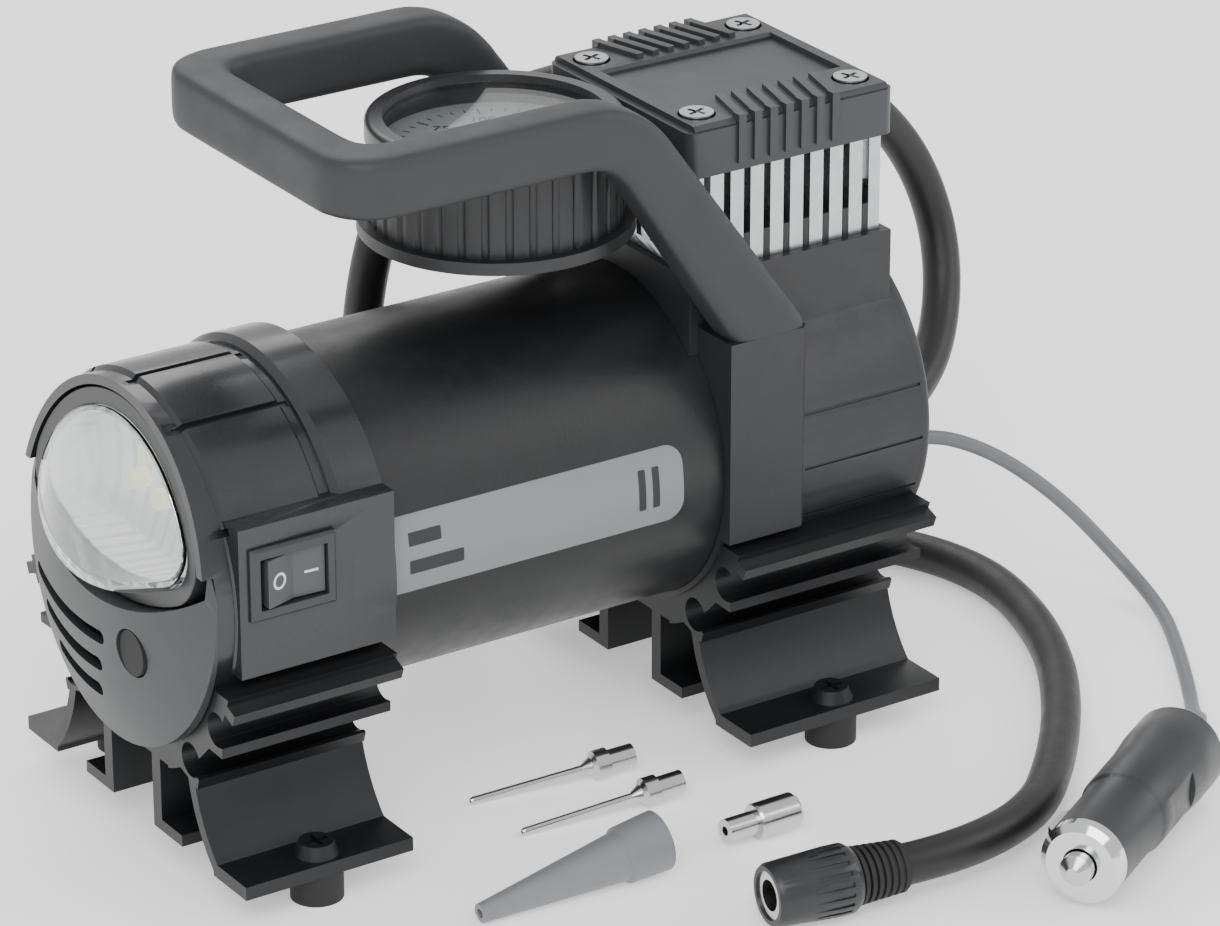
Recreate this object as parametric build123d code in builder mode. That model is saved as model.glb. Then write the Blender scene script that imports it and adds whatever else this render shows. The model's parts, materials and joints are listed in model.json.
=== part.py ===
"""Portable tire inflator, as an assembly of separate pieces.

A motor in a steel tube turns a pinion, which turns a crank gear. The crank drives one wobble
piston in a finned cylinder over the rear casing. A lamp, a rocker switch, a gauge, a handle, two
foot brackets, an air hose with a screw-on chuck and a cord with a 12 V plug complete it.

Frame: millimetres, +X from the lamp to the rear cover, +Z up, the near side is -Y. The origin is
on the floor, at the centre of the four rubber feet.
"""

import os
from math import acos, cos, pi, radians, sin, sqrt, tan

from build123d import *

os.makedirs("parts", exist_ok=True)

# ---- clearances -------------------------------------------------------------------------------
SLIP = 0.15  # between pieces that slip together
GAP = 0.4  # between pieces that move past each other
RUN = 0.05  # on the radius of a shaft that runs in a bush

# ---- overall ----------------------------------------------------------------------------------
AXIS_Z = 76.0  # motor axis over the floor
SHELL_R = 44.5  # outside of the plastic end shells
SHELL_WALL = 2.4
SHELL_IN = SHELL_R - SHELL_WALL
BARREL_R = 43.0
BARREL_WALL = 1.5
BARREL_FRONT = -58.0
BARREL_REAR = 50.0
BARREL_IN = BARREL_R - BARREL_WALL

# ---- front shell and lamp ---------------------------------------------------------------------
CAP_FRONT = -98.0  # where the shell stops behind the grille
CAP_REAR = -51.0
COLLAR_LENGTH = 13.0
COLLAR_RISE = 2.4
CAP_PAD = (-93.5, -66.5)  # front and rear end of the raised pads round the shell
CAP_PAD_RISE = 1.1
GROOVES = (62, 90, 118, 27, 44, 153)
LAMP_TILT = 6.0  # degrees that the lamp looks up
LAMP_X = -100.5  # lamp plane on the height of LAMP_Z
LAMP_Z = 92.0
LENS_R = 37.5
LENS_SIDE = 8.0  # height of the outline's lower corners over the motor axis
LENS_SAG = -2.5  # lowest point of the outline, from the motor axis
LENS_CORNER = 9.0
LENS_DOME = 8.5
LENS_WALL = 2.4
BEZEL_THICK = 4.0
BEZEL_RIM = 4.2
REFLECTOR_DEPTH = 18.0
REFLECTOR_WALL = 1.2
LED_R = 2.5
LED_SPOTS = ((-14, 14), (0, 14), (14, 14), (-7, 23), (7, 23))
GRILLE_FRONT = -107.0
GRILLE_R = 45.4
GRILLE_WALL = 2.4
GRILLE_DOME = 135.0  # radius of the grille's bulge
GRILLE_MID = 66.0  # height of the middle of the bulge
EAR_TOP = 87.0
EAR_WIDE = 2.6
SLOT_HIGH = 3.6
SLOTS = (((-2.6, 58.4), (17, 57.7), (36.4, 60.0)), ((0, 50.2), (15, 49.7), (30.9, 52.2)),
         ((2.3, 42.4), (13, 42.2), (24.1, 44.0)))
BUTTON_R = 5.7
BUTTON_Y = -16.3
BUTTON_Z = 59.4
BUTTON_TRAVEL = 2.0

# ---- rocker switch ----------------------------------------------------------------------------
PAD_Y = -46.2  # outer face of the flat pad round the switch
PAD_BOTTOM = 61.0
PAD_TOP = 99.0
SWITCH_X = -79.0
SWITCH_Z = 84.5
SWITCH_WIDE = 23.0
SWITCH_HIGH = 18.5
SWITCH_DEEP = 13.0
SWITCH_LIP = 1.5
KEY_WIDE = 16.4
KEY_HIGH = 12.1
KEY_PIVOT = 4.0  # pivot behind the outer face of the pad
KEY_TILT = 7.0
KEY_PIN_R = 1.2
KEY_PIN_LONG = 1.1

# ---- motor ------------------------------------------------------------------------------------
SHAFT_R = 4.0
SHAFT_FRONT = -55.0
SHAFT_REAR = 51.0
ARMATURE_R = 32.0
ARMATURE_FRONT = -20.0
ARMATURE_REAR = 24.0
ARMATURE_SLOTS = 12
MAGNET_WALL = 7.5
BUSH_R = 6.0
BELL_X = -44.0
BELL_THICK = 4.0
END_PLATE_X = 34.0
END_PLATE_THICK = 3.0
COMMUTATOR_R = 11.0
COMMUTATOR_FRONT = -37.0
COMMUTATOR_LENGTH = 11.0
WINDING_LONG = 5.0
FAN_R = 38.0
FAN_BLADES = 9
FAN_FRONT = -54.0
FAN_LENGTH = 7.0

# ---- gears and crank --------------------------------------------------------------------------
MODULE = 0.9
PINION_TEETH = 10
GEAR_TEETH = 35
PRESSURE = 25.0
BACKLASH = 0.16
GEAR_X = 43.0
GEAR_FACE = 6.0
GEAR_CENTRES = MODULE * (PINION_TEETH + GEAR_TEETH) / 2
CRANK_Z = AXIS_Z + GEAR_CENTRES
CRANK_SHAFT_R = 4.5
THROW = 8.0
FRAME_X = 52.0
FRAME_THICK = 4.0
DISC_X = 60.0
DISC_THICK = 5.0
DISC_R = 14.0
PIN_R = 2.5
ROD_HALF = 4.5

# ---- cylinder and head ------------------------------------------------------------------------
BLOCK_X = 44.5
BLOCK_LONG = 56.0
BLOCK_HALF = 29.0
BLOCK_BOTTOM = 120.0
BLOCK_TOP = 152.0
BORE_X = BLOCK_X + BLOCK_LONG / 2
BORE_R = 15.0
FIN_PITCH = 5.9
FIN_GAP = 2.0
FIN_DEEP = 7.0
FIN_GAPS = 9
PISTON_TOP = 150.6
PISTON_GAP = 0.6  # on the radius, between the piston and its bore
GASKET_THICK = 0.8
VALVE_THICK = 2.2
HEAD_THICK = 6.0
COVER_HALF = 31.4
COVER_WALL = 2.2
COVER_BOTTOM = 151.5
STRIP_RISE = 1.5
STRIP_WIDE = 17.0
RIBS = 7
RIB_RISE = 1.2
RIB_SLANT = 14.0
SCREW_X = 22.75
SCREW_Y = 23.0
SCREW_R = 2.4
SCREW_HEAD_R = 4.2

# ---- rear casing ------------------------------------------------------------------------------
CASE_FRONT = 45.0
CASE_REAR = 104.0
SHOULDER_REAR = 68.0  # rear end of the wide front part that carries the handle
SHOULDER_HALF = 45.5
SHOULDER_BOTTOM = 60.0
SHOULDER_TOP = 113.0
TOWER_WALL = 2.0
TOWER_TOP = 126.0
TOOTH_TOP = 133.5
COVER_THICK = 3.0
PANEL_LINES = (-38, -20, -2, 16)
REAR_SCREW_R = 38.5
GLAND_Y = 0.0
GLAND_Z = 52.0
GLAND_R = 3.6
OUTLET_Y = 20.0
OUTLET_Z = 46.0

# ---- handle -----------------------------------------------------------------------------------
HANDLE_FRONT = -62.0
HANDLE_HALF = SHOULDER_HALF
HANDLE_WIDE = 12.5
HANDLE_LOW = 165.3
HANDLE_HIGH = 15.6
HANDLE_BEND_X = 15.7
HANDLE_BEND_R = 20.0
HANDLE_DROP = 54.0  # degrees that the rear stretch falls
HANDLE_CORNER = 14.0
HANDLE_SCREW_X = 55.0
HANDLE_SCREW_R = 2.5

# ---- gauge ------------------------------------------------------------------------------------
GAUGE_X = 7.0
GAUGE_R = 31.2
GAUGE_LIP_R = 33.9
GAUGE_BOTTOM = 138.0
GAUGE_TOP = 166.5
GAUGE_WALL = 2.4
GAUGE_FLUTES = 34
BEZEL_HIGH = 5.5
DIAL_Z = 157.0
NEEDLE_Z = 159.0
ARBOR_R = 0.8
STEM_Z = 145.0
STEM_R = 4.0

# ---- foot brackets ----------------------------------------------------------------------------
FOOT_X = 75.0
FOOT_Y = 47.5
FRONT_BRACKET = (-98.0, -52.0)
REAR_BRACKET = (46.0, 104.0)
FLANGE_Z = 8.0
FLANGE_THICK = 3.5
FLANGE_HALF = 54.0
FOOT_R = 6.5
FOOT_SCREW_R = 2.5
FOOT_SCREW_TIP = 4.8
LEDGE_OUT = 50.5
ARCH_R = 10.0
LEG_WALL = 3.0
REAR_BRACKET_SCREWS = (FOOT_X - 12.5, FOOT_X + 7.5)
BRACKET_SCREW_R = 2.0
BRACKET_SCREW_TOP = 44.0

# ---- hose and chuck ---------------------------------------------------------------------------
HOSE_R = 5.1
CHUCK_TURN = -8.0  # direction of the chuck on the floor, degrees from +X
CHUCK_FRONT = (4.5, -120.5)
CHUCK_R = 8.6
CHUCK_LONG = 22.0
CHUCK_BORE_R = 3.85  # the valve thread that it screws on
RELIEF_LONG = 13.0
RELIEF_R = 7.2
RELIEF_RINGS = 7
HOSE_START = 112.0
HOSE_FLOOR_Z = HOSE_R + 0.05

# ---- cord and plug ----------------------------------------------------------------------------
CORD_R = 1.9
CORD_Z = CORD_R + 0.05
GLAND_END = 114.0
PLUG_NOSE = (66.2, -157.1)
PLUG_TURN = 30.9  # direction from the nose to the rear, degrees from +X
PLUG_Z = 12.6
PLUG_NOSE_R = 10.4
PLUG_R = 11.2
PLUG_TAIL_R = 11.8
PLUG_LONG = 74.0
TIP_R = 4.0
TIP_TRAVEL = 3.0
CONTACT_TRAVEL = 1.0
NOSE_AT = 5.0


def save(piece: BuildPart, name: str):
    """Label a finished piece and write its STEP file."""
    piece.part.label = name
    export_step(piece.part, f"parts/{name}.step")


def bar_x(x0, x1, radius, y=0.0, z=AXIS_Z, mode=Mode.ADD):
    """A round bar along X, added to or cut from the part being built."""
    with Locations(((x0 + x1) / 2, y, z)):
        Cylinder(radius, x1 - x0, rotation=(0, 90, 0), mode=mode)


def bar_y(y0, y1, radius, x, z, mode=Mode.ADD):
    """A round bar along Y."""
    with Locations((x, (y0 + y1) / 2, z)):
        Cylinder(radius, y1 - y0, rotation=(90, 0, 0), mode=mode)


def bar_z(z0, z1, radius, x, y, mode=Mode.ADD):
    """A round bar along Z."""
    with Locations((x, y, (z0 + z1) / 2)):
        Cylinder(radius, z1 - z0, mode=mode)


def block(x, y, z, mode=Mode.ADD):
    """A box between two stations on each axis."""
    with Locations(((x[0] + x[1]) / 2, (y[0] + y[1]) / 2, (z[0] + z[1]) / 2)):
        Box(x[1] - x[0], y[1] - y[0], z[1] - z[0], mode=mode)


def turned(plane: Plane, outline, mode=Mode.ADD):
    """Revolve a closed outline of (along, radius) points about the plane's X axis."""
    with BuildSketch(plane) as profile:
        with BuildLine():
            Polyline(*outline, close=True)
        make_face()
    revolve(profile.sketch, axis=Axis(plane.origin, plane.x_dir), mode=mode)


def lying(x, y, z, turn, rise=0.0) -> Plane:
    """A plane whose X axis points along a lying piece, with its Y axis upwards."""
    along = Vector(cos(radians(turn)) * cos(radians(rise)), sin(radians(turn)) * cos(radians(rise)),
                   sin(radians(rise)))
    side = Vector(sin(radians(turn)), -cos(radians(turn)), 0)
    return Plane(origin=(x, y, z), x_dir=along, z_dir=side)


# ---- steel tube of the motor --------------------------------------------------------------------
with BuildPart() as motor_barrel:
    bar_x(BARREL_FRONT, BARREL_REAR, BARREL_R)
    bar_x(BARREL_FRONT, BARREL_REAR, BARREL_IN, mode=Mode.SUBTRACT)
save(motor_barrel, "motor_barrel")

# ---- lamp ---------------------------------------------------------------------------------------
tilt_x, tilt_z = sin(radians(LAMP_TILT)), cos(radians(LAMP_TILT))
lamp_plane = Plane(origin=(LAMP_X, 0, LAMP_Z), x_dir=(0, -1, 0), z_dir=(-tilt_z, 0, tilt_x))
lamp_centre = (AXIS_Z - LAMP_Z) / tilt_z  # the motor axis, up the lamp plane


def lens_outline(depth, inset=0.0) -> Sketch:
    """The lamp's outline on a plane at a depth before the lamp plane, made smaller by an inset."""
    rise = LENS_SIDE - LENS_SAG
    low_r = (LENS_R**2 - LENS_SIDE**2 + rise**2) / (2 * rise)
    with BuildSketch(lamp_plane.offset(depth)) as outline:
        with Locations((0, lamp_centre)):
            Circle(LENS_R - inset)
        with Locations((0, lamp_centre + LENS_SAG + low_r)):
            Circle(low_r - inset, mode=Mode.INTERSECT)
        fillet(outline.vertices(), LENS_CORNER - inset)
    return outline.sketch


dome_r = (LENS_R**2 + LENS_DOME**2) / (2 * LENS_DOME)
dome_centre = lamp_plane.from_local_coords((0, lamp_centre, LENS_DOME - dome_r))

with BuildPart() as lens_hollow:
    extrude(lens_outline(-3.0, LENS_WALL), amount=LENS_DOME + 4)
    with Locations(dome_centre):
        Sphere(dome_r - LENS_WALL, mode=Mode.INTERSECT)
with BuildPart() as lamp_lens:
    extrude(lens_outline(-2.0, SLIP), amount=LENS_DOME + 4)
    with Locations(dome_centre):
        Sphere(dome_r, mode=Mode.INTERSECT)
    add(lens_hollow.part, mode=Mode.SUBTRACT)
save(lamp_lens, "lamp_lens")

bowl_r = (LENS_R**2 + REFLECTOR_DEPTH**2) / (2 * REFLECTOR_DEPTH)
bowl_centre = lamp_plane.from_local_coords((0, lamp_centre + 15, -2.0 - REFLECTOR_DEPTH + bowl_r))
with BuildPart() as reflector_hollow:
    extrude(lens_outline(-1.9, 1.0 + REFLECTOR_WALL), amount=-REFLECTOR_DEPTH - 2)
    with Locations(bowl_centre):
        Sphere(bowl_r - REFLECTOR_WALL, mode=Mode.INTERSECT)
with BuildPart() as lamp_reflector:
    extrude(lens_outline(-2.0, 1.0), amount=-REFLECTOR_DEPTH - 2)
    with Locations(bowl_centre):
        Sphere(bowl_r, mode=Mode.INTERSECT)
    add(reflector_hollow.part, mode=Mode.SUBTRACT)
    for u, v in LED_SPOTS:
        with Locations(lamp_plane * Location((u, lamp_centre + v, -REFLECTOR_DEPTH))):
            Cylinder(LED_R + SLIP, 2 * REFLECTOR_DEPTH, mode=Mode.SUBTRACT)
save(lamp_reflector, "lamp_reflector")

board_depth = -REFLECTOR_DEPTH - 5.0
with BuildPart() as lamp_leds:
    for u, v in LED_SPOTS:
        with Locations(lamp_plane * Location((u, lamp_centre + v, board_depth + 1.6))):
            Cylinder(LED_R, 9.0, align=(Align.CENTER, Align.CENTER, Align.MIN))
save(lamp_leds, "lamp_leds")

with BuildPart() as lamp_bezel:
    extrude(lens_outline(-0.6, -BEZEL_RIM), amount=-BEZEL_THICK)
    extrude(lens_outline(0.0), amount=-BEZEL_THICK - 2, mode=Mode.SUBTRACT)
save(lamp_bezel, "lamp_bezel")

# ---- front shell --------------------------------------------------------------------------------
with BuildPart() as cap_pads:
    bar_x(*CAP_PAD, SHELL_R + CAP_PAD_RISE)
    chamfer(cap_pads.edges().filter_by(GeomType.CIRCLE), CAP_PAD_RISE - 0.1)
with BuildPart() as cap_raised:
    bar_x(CAP_REAR - COLLAR_LENGTH, CAP_REAR, SHELL_R + COLLAR_RISE)
    chamfer(cap_raised.edges().filter_by(GeomType.CIRCLE).sort_by(Axis.X)[0], 1.6)
    add(cap_pads.part)
    block((-93, CAP_REAR), (PAD_Y, 0), (PAD_BOTTOM, PAD_TOP))
    block((-112, CAP_REAR), (-60, 60), (0, PAD_BOTTOM), mode=Mode.SUBTRACT)
with BuildPart() as cap_inside:
    block((-92, -90), (-40, 40), (30, 62))
    bar_z(30, BRACKET_SCREW_TOP, 5, -75, 0)
    bar_x(-112, CAP_REAR, SHELL_R - 1, mode=Mode.INTERSECT)
with BuildPart() as front_cap:
    bar_x(-112, CAP_REAR, SHELL_R)
    add(cap_raised.part)
    for angle in GROOVES:
        with Locations(Location((sum(CAP_PAD) / 2, 0, AXIS_Z), (angle, 0, 0))):
            with Locations((0, SHELL_R + 1, 0)):
                Box(CAP_PAD[1] - CAP_PAD[0] + 4, 3.2, 1.8, mode=Mode.SUBTRACT)
    bar_x(-112, CAP_REAR, SHELL_IN, mode=Mode.SUBTRACT)
    bar_x(BARREL_FRONT - SLIP, CAP_REAR, BARREL_R + SLIP, mode=Mode.SUBTRACT)
    add(cap_inside.part)
    bar_z(0, BRACKET_SCREW_TOP - 2, BRACKET_SCREW_R, -75, 0, mode=Mode.SUBTRACT)
    half_wide, half_high = SWITCH_WIDE / 2 - 1.5, SWITCH_HIGH / 2 - 1.5
    block((SWITCH_X - half_wide - SLIP, SWITCH_X + half_wide + SLIP), (PAD_Y - 1, -30),
          (SWITCH_Z - half_high - SLIP, SWITCH_Z + half_high + SLIP), mode=Mode.SUBTRACT)
    block((-115, CAP_FRONT), (-60, 60), (20, EAR_TOP + 0.3), mode=Mode.SUBTRACT)
    with BuildSketch(lamp_plane):
        Rectangle(160, 200)
    extrude(amount=40, mode=Mode.SUBTRACT)
save(front_cap, "front_cap")

# ---- grille under the lamp ----------------------------------------------------------------------
grille_back = CAP_FRONT - 0.3


def grille_outline() -> Sketch:
    """The grille's outline, seen along X."""
    ear = sqrt(GRILLE_R**2 - (EAR_TOP - AXIS_Z) ** 2)
    inner = ear - EAR_WIDE
    side, low = AXIS_Z + LENS_SIDE - 2.5, AXIS_Z + LENS_SAG - BEZEL_RIM - 0.5
    with BuildSketch(Plane.YZ.offset(-116)) as outline:
        with BuildLine():
            ThreePointArc((ear, EAR_TOP), (0, AXIS_Z - GRILLE_R), (-ear, EAR_TOP))
            Line((-ear, EAR_TOP), (-inner, EAR_TOP))
            Line((-inner, EAR_TOP), (-inner, side))
            ThreePointArc((-inner, side), (0, low), (inner, side))
            Line((inner, side), (inner, EAR_TOP))
            Line((inner, EAR_TOP), (ear, EAR_TOP))
        make_face()
    return outline.sketch


with BuildPart() as grille_hollow:
    with BuildSketch(Plane.YZ.offset(-116)):
        with BuildLine():
            reach, side = GRILLE_R - 3, AXIS_Z - 10
            ThreePointArc((reach, side), (0, AXIS_Z - GRILLE_R + GRILLE_WALL), (-reach, side))
            ThreePointArc((-reach, side), (0, AXIS_Z + LENS_SAG - BEZEL_RIM - 4), (reach, side))
        make_face()
    extrude(amount=116 + grille_back)
    with Locations((GRILLE_FRONT + GRILLE_DOME, 0, GRILLE_MID)):
        Sphere(GRILLE_DOME - GRILLE_WALL, mode=Mode.INTERSECT)
with BuildPart() as front_grille:
    extrude(grille_outline(), amount=116 + grille_back)
    with Locations((GRILLE_FRONT + GRILLE_DOME, 0, GRILLE_MID)):
        Sphere(GRILLE_DOME, mode=Mode.INTERSECT)
    add(grille_hollow.part, mode=Mode.SUBTRACT)
    with BuildSketch(Plane.YZ.offset(-116)):
        for start, middle, end in SLOTS:
            with BuildLine(mode=Mode.PRIVATE) as centre_line:
                ThreePointArc(start, middle, end)
            SlotArc(centre_line.wires()[0], SLOT_HIGH)
        with Locations((BUTTON_Y, BUTTON_Z)):
            Circle(BUTTON_R + GAP)
    extrude(amount=30, mode=Mode.SUBTRACT)
save(front_grille, "front_grille")

with BuildPart() as lamp_button:
    bar_x(-105.8, -98.6, BUTTON_R, BUTTON_Y, BUTTON_Z)
    bar_x(-98.6, -96.4, 2, BUTTON_Y, BUTTON_Z)
save(lamp_button, "lamp_button")

with BuildPart() as lamp_boards:
    with BuildSketch(lamp_plane.offset(board_depth)):
        with Locations((0, lamp_centre + 15)):
            RectangleRounded(44, 24, 3)
    extrude(amount=1.6)
    block((-94.2, -92), (BUTTON_Y - 5, BUTTON_Y + 5), (BUTTON_Z - 6, BUTTON_Z + 1.5))
save(lamp_boards, "lamp_boards")

# ---- rocker switch ------------------------------------------------------------------------------
key_opening = (KEY_WIDE / 2 + 0.8, KEY_HIGH / 2 + GAP)
pin_reach = KEY_HIGH / 2 + KEY_PIN_LONG
with BuildPart() as switch_frame:
    block((SWITCH_X - SWITCH_WIDE / 2, SWITCH_X + SWITCH_WIDE / 2), (PAD_Y - SWITCH_LIP, PAD_Y),
          (SWITCH_Z - SWITCH_HIGH / 2, SWITCH_Z + SWITCH_HIGH / 2))
    chamfer(switch_frame.edges().group_by(Axis.Y)[0], 0.7)
    block((SWITCH_X - half_wide, SWITCH_X + half_wide), (PAD_Y, PAD_Y + SWITCH_DEEP),
          (SWITCH_Z - half_high, SWITCH_Z + half_high))
    block((SWITCH_X - key_opening[0], SWITCH_X + key_opening[0]), (PAD_Y - 3, PAD_Y + 11),
          (SWITCH_Z - key_opening[1], SWITCH_Z + key_opening[1]), mode=Mode.SUBTRACT)
    bar_z(SWITCH_Z - pin_reach - GAP, SWITCH_Z + pin_reach + GAP, KEY_PIN_R + RUN, SWITCH_X, PAD_Y + KEY_PIVOT,
          mode=Mode.SUBTRACT)
    for side in (-5, 5):
        block((SWITCH_X + side - 0.4, SWITCH_X + side + 0.4), (PAD_Y + SWITCH_DEEP, PAD_Y + SWITCH_DEEP + 6),
              (SWITCH_Z - 2.4, SWITCH_Z + 2.4))
save(switch_frame, "switch_frame")

key_plane = Plane(origin=(SWITCH_X, PAD_Y + KEY_PIVOT, SWITCH_Z - KEY_HIGH / 2), x_dir=(1, 0, 0), z_dir=(0, 0, 1))
with BuildPart() as rocker_key:
    with BuildSketch(key_plane.rotated((0, 0, KEY_TILT))):
        with BuildLine():
            half = KEY_WIDE / 2
            Polyline((-half, -5.4), (0, -3.9), (half, -5.4), (half - 0.6, -0.5), (2.6, 3.6), (-2.6, 3.6),
                     (-half + 0.6, -0.5), close=True)
        make_face()
    extrude(amount=KEY_HIGH)
    bar_z(SWITCH_Z - pin_reach, SWITCH_Z + pin_reach, KEY_PIN_R, SWITCH_X, PAD_Y + KEY_PIVOT)
save(rocker_key, "rocker_key")

# ---- motor --------------------------------------------------------------------------------------
with BuildPart() as motor_shaft:
    bar_x(SHAFT_FRONT, GEAR_X - 2, SHAFT_R)
    bar_x(GEAR_X - 2, SHAFT_REAR, 2.6)
save(motor_shaft, "motor_shaft")

with BuildPart() as armature:
    bar_x(ARMATURE_FRONT, ARMATURE_REAR, ARMATURE_R)
    bar_x(ARMATURE_FRONT, ARMATURE_REAR, SHAFT_R, mode=Mode.SUBTRACT)
    with BuildSketch(Plane.YZ.offset(ARMATURE_FRONT)):
        with Locations((0, AXIS_Z)):
            with PolarLocations(ARMATURE_R - 5, ARMATURE_SLOTS):
                SlotOverall(14, 4)
    extrude(amount=ARMATURE_REAR - ARMATURE_FRONT, mode=Mode.SUBTRACT)
save(armature, "armature")

with BuildPart() as commutator:
    for start in (ARMATURE_FRONT - WINDING_LONG, ARMATURE_REAR):
        bar_x(start, start + WINDING_LONG, ARMATURE_R - 5)
    bar_x(COMMUTATOR_FRONT, COMMUTATOR_FRONT + COMMUTATOR_LENGTH, COMMUTATOR_R)
    with BuildSketch(Plane.YZ.offset(COMMUTATOR_FRONT)):
        with Locations((0, AXIS_Z)):
            with PolarLocations(COMMUTATOR_R, ARMATURE_SLOTS):
                Rectangle(1.6, 0.6)
    extrude(amount=COMMUTATOR_LENGTH, mode=Mode.SUBTRACT)
    bar_x(COMMUTATOR_FRONT - 1, ARMATURE_REAR + WINDING_LONG + 1, SHAFT_R, mode=Mode.SUBTRACT)
save(commutator, "commutator")

magnet_in = BARREL_IN - MAGNET_WALL
with BuildPart() as motor_magnets:
    bar_x(ARMATURE_FRONT - 2, ARMATURE_REAR + 2, BARREL_IN)
    bar_x(ARMATURE_FRONT - 2, ARMATURE_REAR + 2, magnet_in, mode=Mode.SUBTRACT)
    block((ARMATURE_FRONT - 3, ARMATURE_REAR + 3), (-60, 60), (AXIS_Z - 13, AXIS_Z + 13), mode=Mode.SUBTRACT)
save(motor_magnets, "motor_magnets")

with BuildPart() as shaft_bushes:
    for start, length in ((BELL_X - 1, BELL_THICK + 2), (END_PLATE_X - 1, END_PLATE_THICK + 2)):
        bar_x(start, start + length, BUSH_R)
        bar_x(start, start + length, SHAFT_R + RUN, mode=Mode.SUBTRACT)
    bar_x(FRAME_X - 1, FRAME_X + FRAME_THICK + 1, CRANK_SHAFT_R + 3, z=CRANK_Z)
    bar_x(FRAME_X - 1, FRAME_X + FRAME_THICK + 1, CRANK_SHAFT_R + RUN, z=CRANK_Z, mode=Mode.SUBTRACT)
save(shaft_bushes, "shaft_bushes")

with BuildPart() as motor_end_frames:
    bar_x(BELL_X, BELL_X + BELL_THICK, BARREL_IN)
    bar_x(BELL_X, BELL_X + BELL_THICK, BUSH_R, mode=Mode.SUBTRACT)
    with BuildSketch(Plane.YZ.offset(BELL_X)):
        with Locations((0, AXIS_Z)):
            with PolarLocations(27, 6, start_angle=30):
                Circle(8)
    extrude(amount=BELL_THICK, mode=Mode.SUBTRACT)
    for side in (-1, 1):
        near, far = sorted((side * (COMMUTATOR_R + 2), side * 24))
        block((BELL_X + BELL_THICK, COMMUTATOR_FRONT + 9), (near, far), (AXIS_Z - 5, AXIS_Z + 5))
        near, far = sorted((side * COMMUTATOR_R, side * 22))
        block((COMMUTATOR_FRONT, COMMUTATOR_FRONT + 7), (near, far), (AXIS_Z - 3, AXIS_Z + 3), mode=Mode.SUBTRACT)
    with BuildSketch(Plane.YZ.offset(END_PLATE_X)):
        with Locations((0, AXIS_Z)):
            Circle(BARREL_IN)
            Circle(BUSH_R, mode=Mode.SUBTRACT)
            with PolarLocations(26, 4, start_angle=45):
                Circle(7, mode=Mode.SUBTRACT)
    extrude(amount=END_PLATE_THICK)
save(motor_end_frames, "motor_end_frames")

with BuildPart() as motor_brushes:
    for side in (-1, 1):
        near, far = sorted((side * (COMMUTATOR_R + GAP), side * 22))
        block((COMMUTATOR_FRONT, COMMUTATOR_FRONT + 7), (near, far), (AXIS_Z - 3, AXIS_Z + 3))
save(motor_brushes, "motor_brushes")

with BuildPart() as cooling_fan:
    bar_x(FAN_FRONT, FAN_FRONT + FAN_LENGTH, 9)
    bar_x(FAN_FRONT + FAN_LENGTH - 1.6, FAN_FRONT + FAN_LENGTH, 20)
    for blade in range(FAN_BLADES):
        turn = 360 * blade / FAN_BLADES
        with Locations(Location((FAN_FRONT + FAN_LENGTH / 2, 0, AXIS_Z), (turn, 0, 0))):
            with Locations(Location((0, (FAN_R + 8) / 2, 0), (0, 32, 0))):
                Box(FAN_LENGTH - 1, FAN_R - 8, 1.4)
    bar_x(FAN_FRONT - 1, FAN_FRONT + FAN_LENGTH + 1, SHAFT_R, mode=Mode.SUBTRACT)
save(cooling_fan, "cooling_fan")


# ---- gears --------------------------------------------------------------------------------------
def gear_outline(teeth, first_angle, station, centre_z) -> Sketch:
    """An involute gear seen along X, with one tooth centred on first_angle (degrees)."""
    pitch_r = MODULE * teeth / 2
    base_r = pitch_r * cos(radians(PRESSURE))
    tip_r, root_r = pitch_r + 0.8 * MODULE, pitch_r - 1.1 * MODULE
    start_r = max(base_r, root_r + 0.05)
    half_tooth = (pi * MODULE / 2 - BACKLASH) / (2 * pitch_r)
    involute = tan(radians(PRESSURE)) - radians(PRESSURE)
    flank = []
    for step in range(5):
        radius = start_r + (tip_r - start_r) * step / 4
        roll = acos(min(1.0, base_r / radius))
        flank.append((radius, half_tooth + involute - (tan(roll) - roll)))
    points = []
    for tooth in range(teeth):
        middle = radians(first_angle) + 2 * pi * tooth / teeth
        sides = [(root_r, -flank[0][1])] + [(r, -a) for r, a in flank]
        sides += [(r, a) for r, a in reversed(flank)] + [(root_r, flank[0][1])]
        points += [(r * cos(middle + a), centre_z + r * sin(middle + a)) for r, a in sides]
    with BuildSketch(Plane.YZ.offset(station)) as outline:
        with BuildLine():
            Polyline(*points, close=True)
        make_face()
    return outline.sketch


with BuildPart() as pinion:
    extrude(gear_outline(PINION_TEETH, 90, GEAR_X - 1, AXIS_Z), amount=GEAR_FACE + 2)
    bar_x(GEAR_X - 2, GEAR_X + GEAR_FACE + 2, 2.6, mode=Mode.SUBTRACT)
save(pinion, "pinion")

with BuildPart() as crank_shaft:
    extrude(gear_outline(GEAR_TEETH, -90 + 180 / GEAR_TEETH, GEAR_X, CRANK_Z), amount=GEAR_FACE)
    bar_x(GEAR_X - 1, DISC_X, CRANK_SHAFT_R, z=CRANK_Z)
    bar_x(DISC_X, DISC_X + DISC_THICK, DISC_R, z=CRANK_Z)
save(crank_shaft, "crank_shaft")

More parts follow.
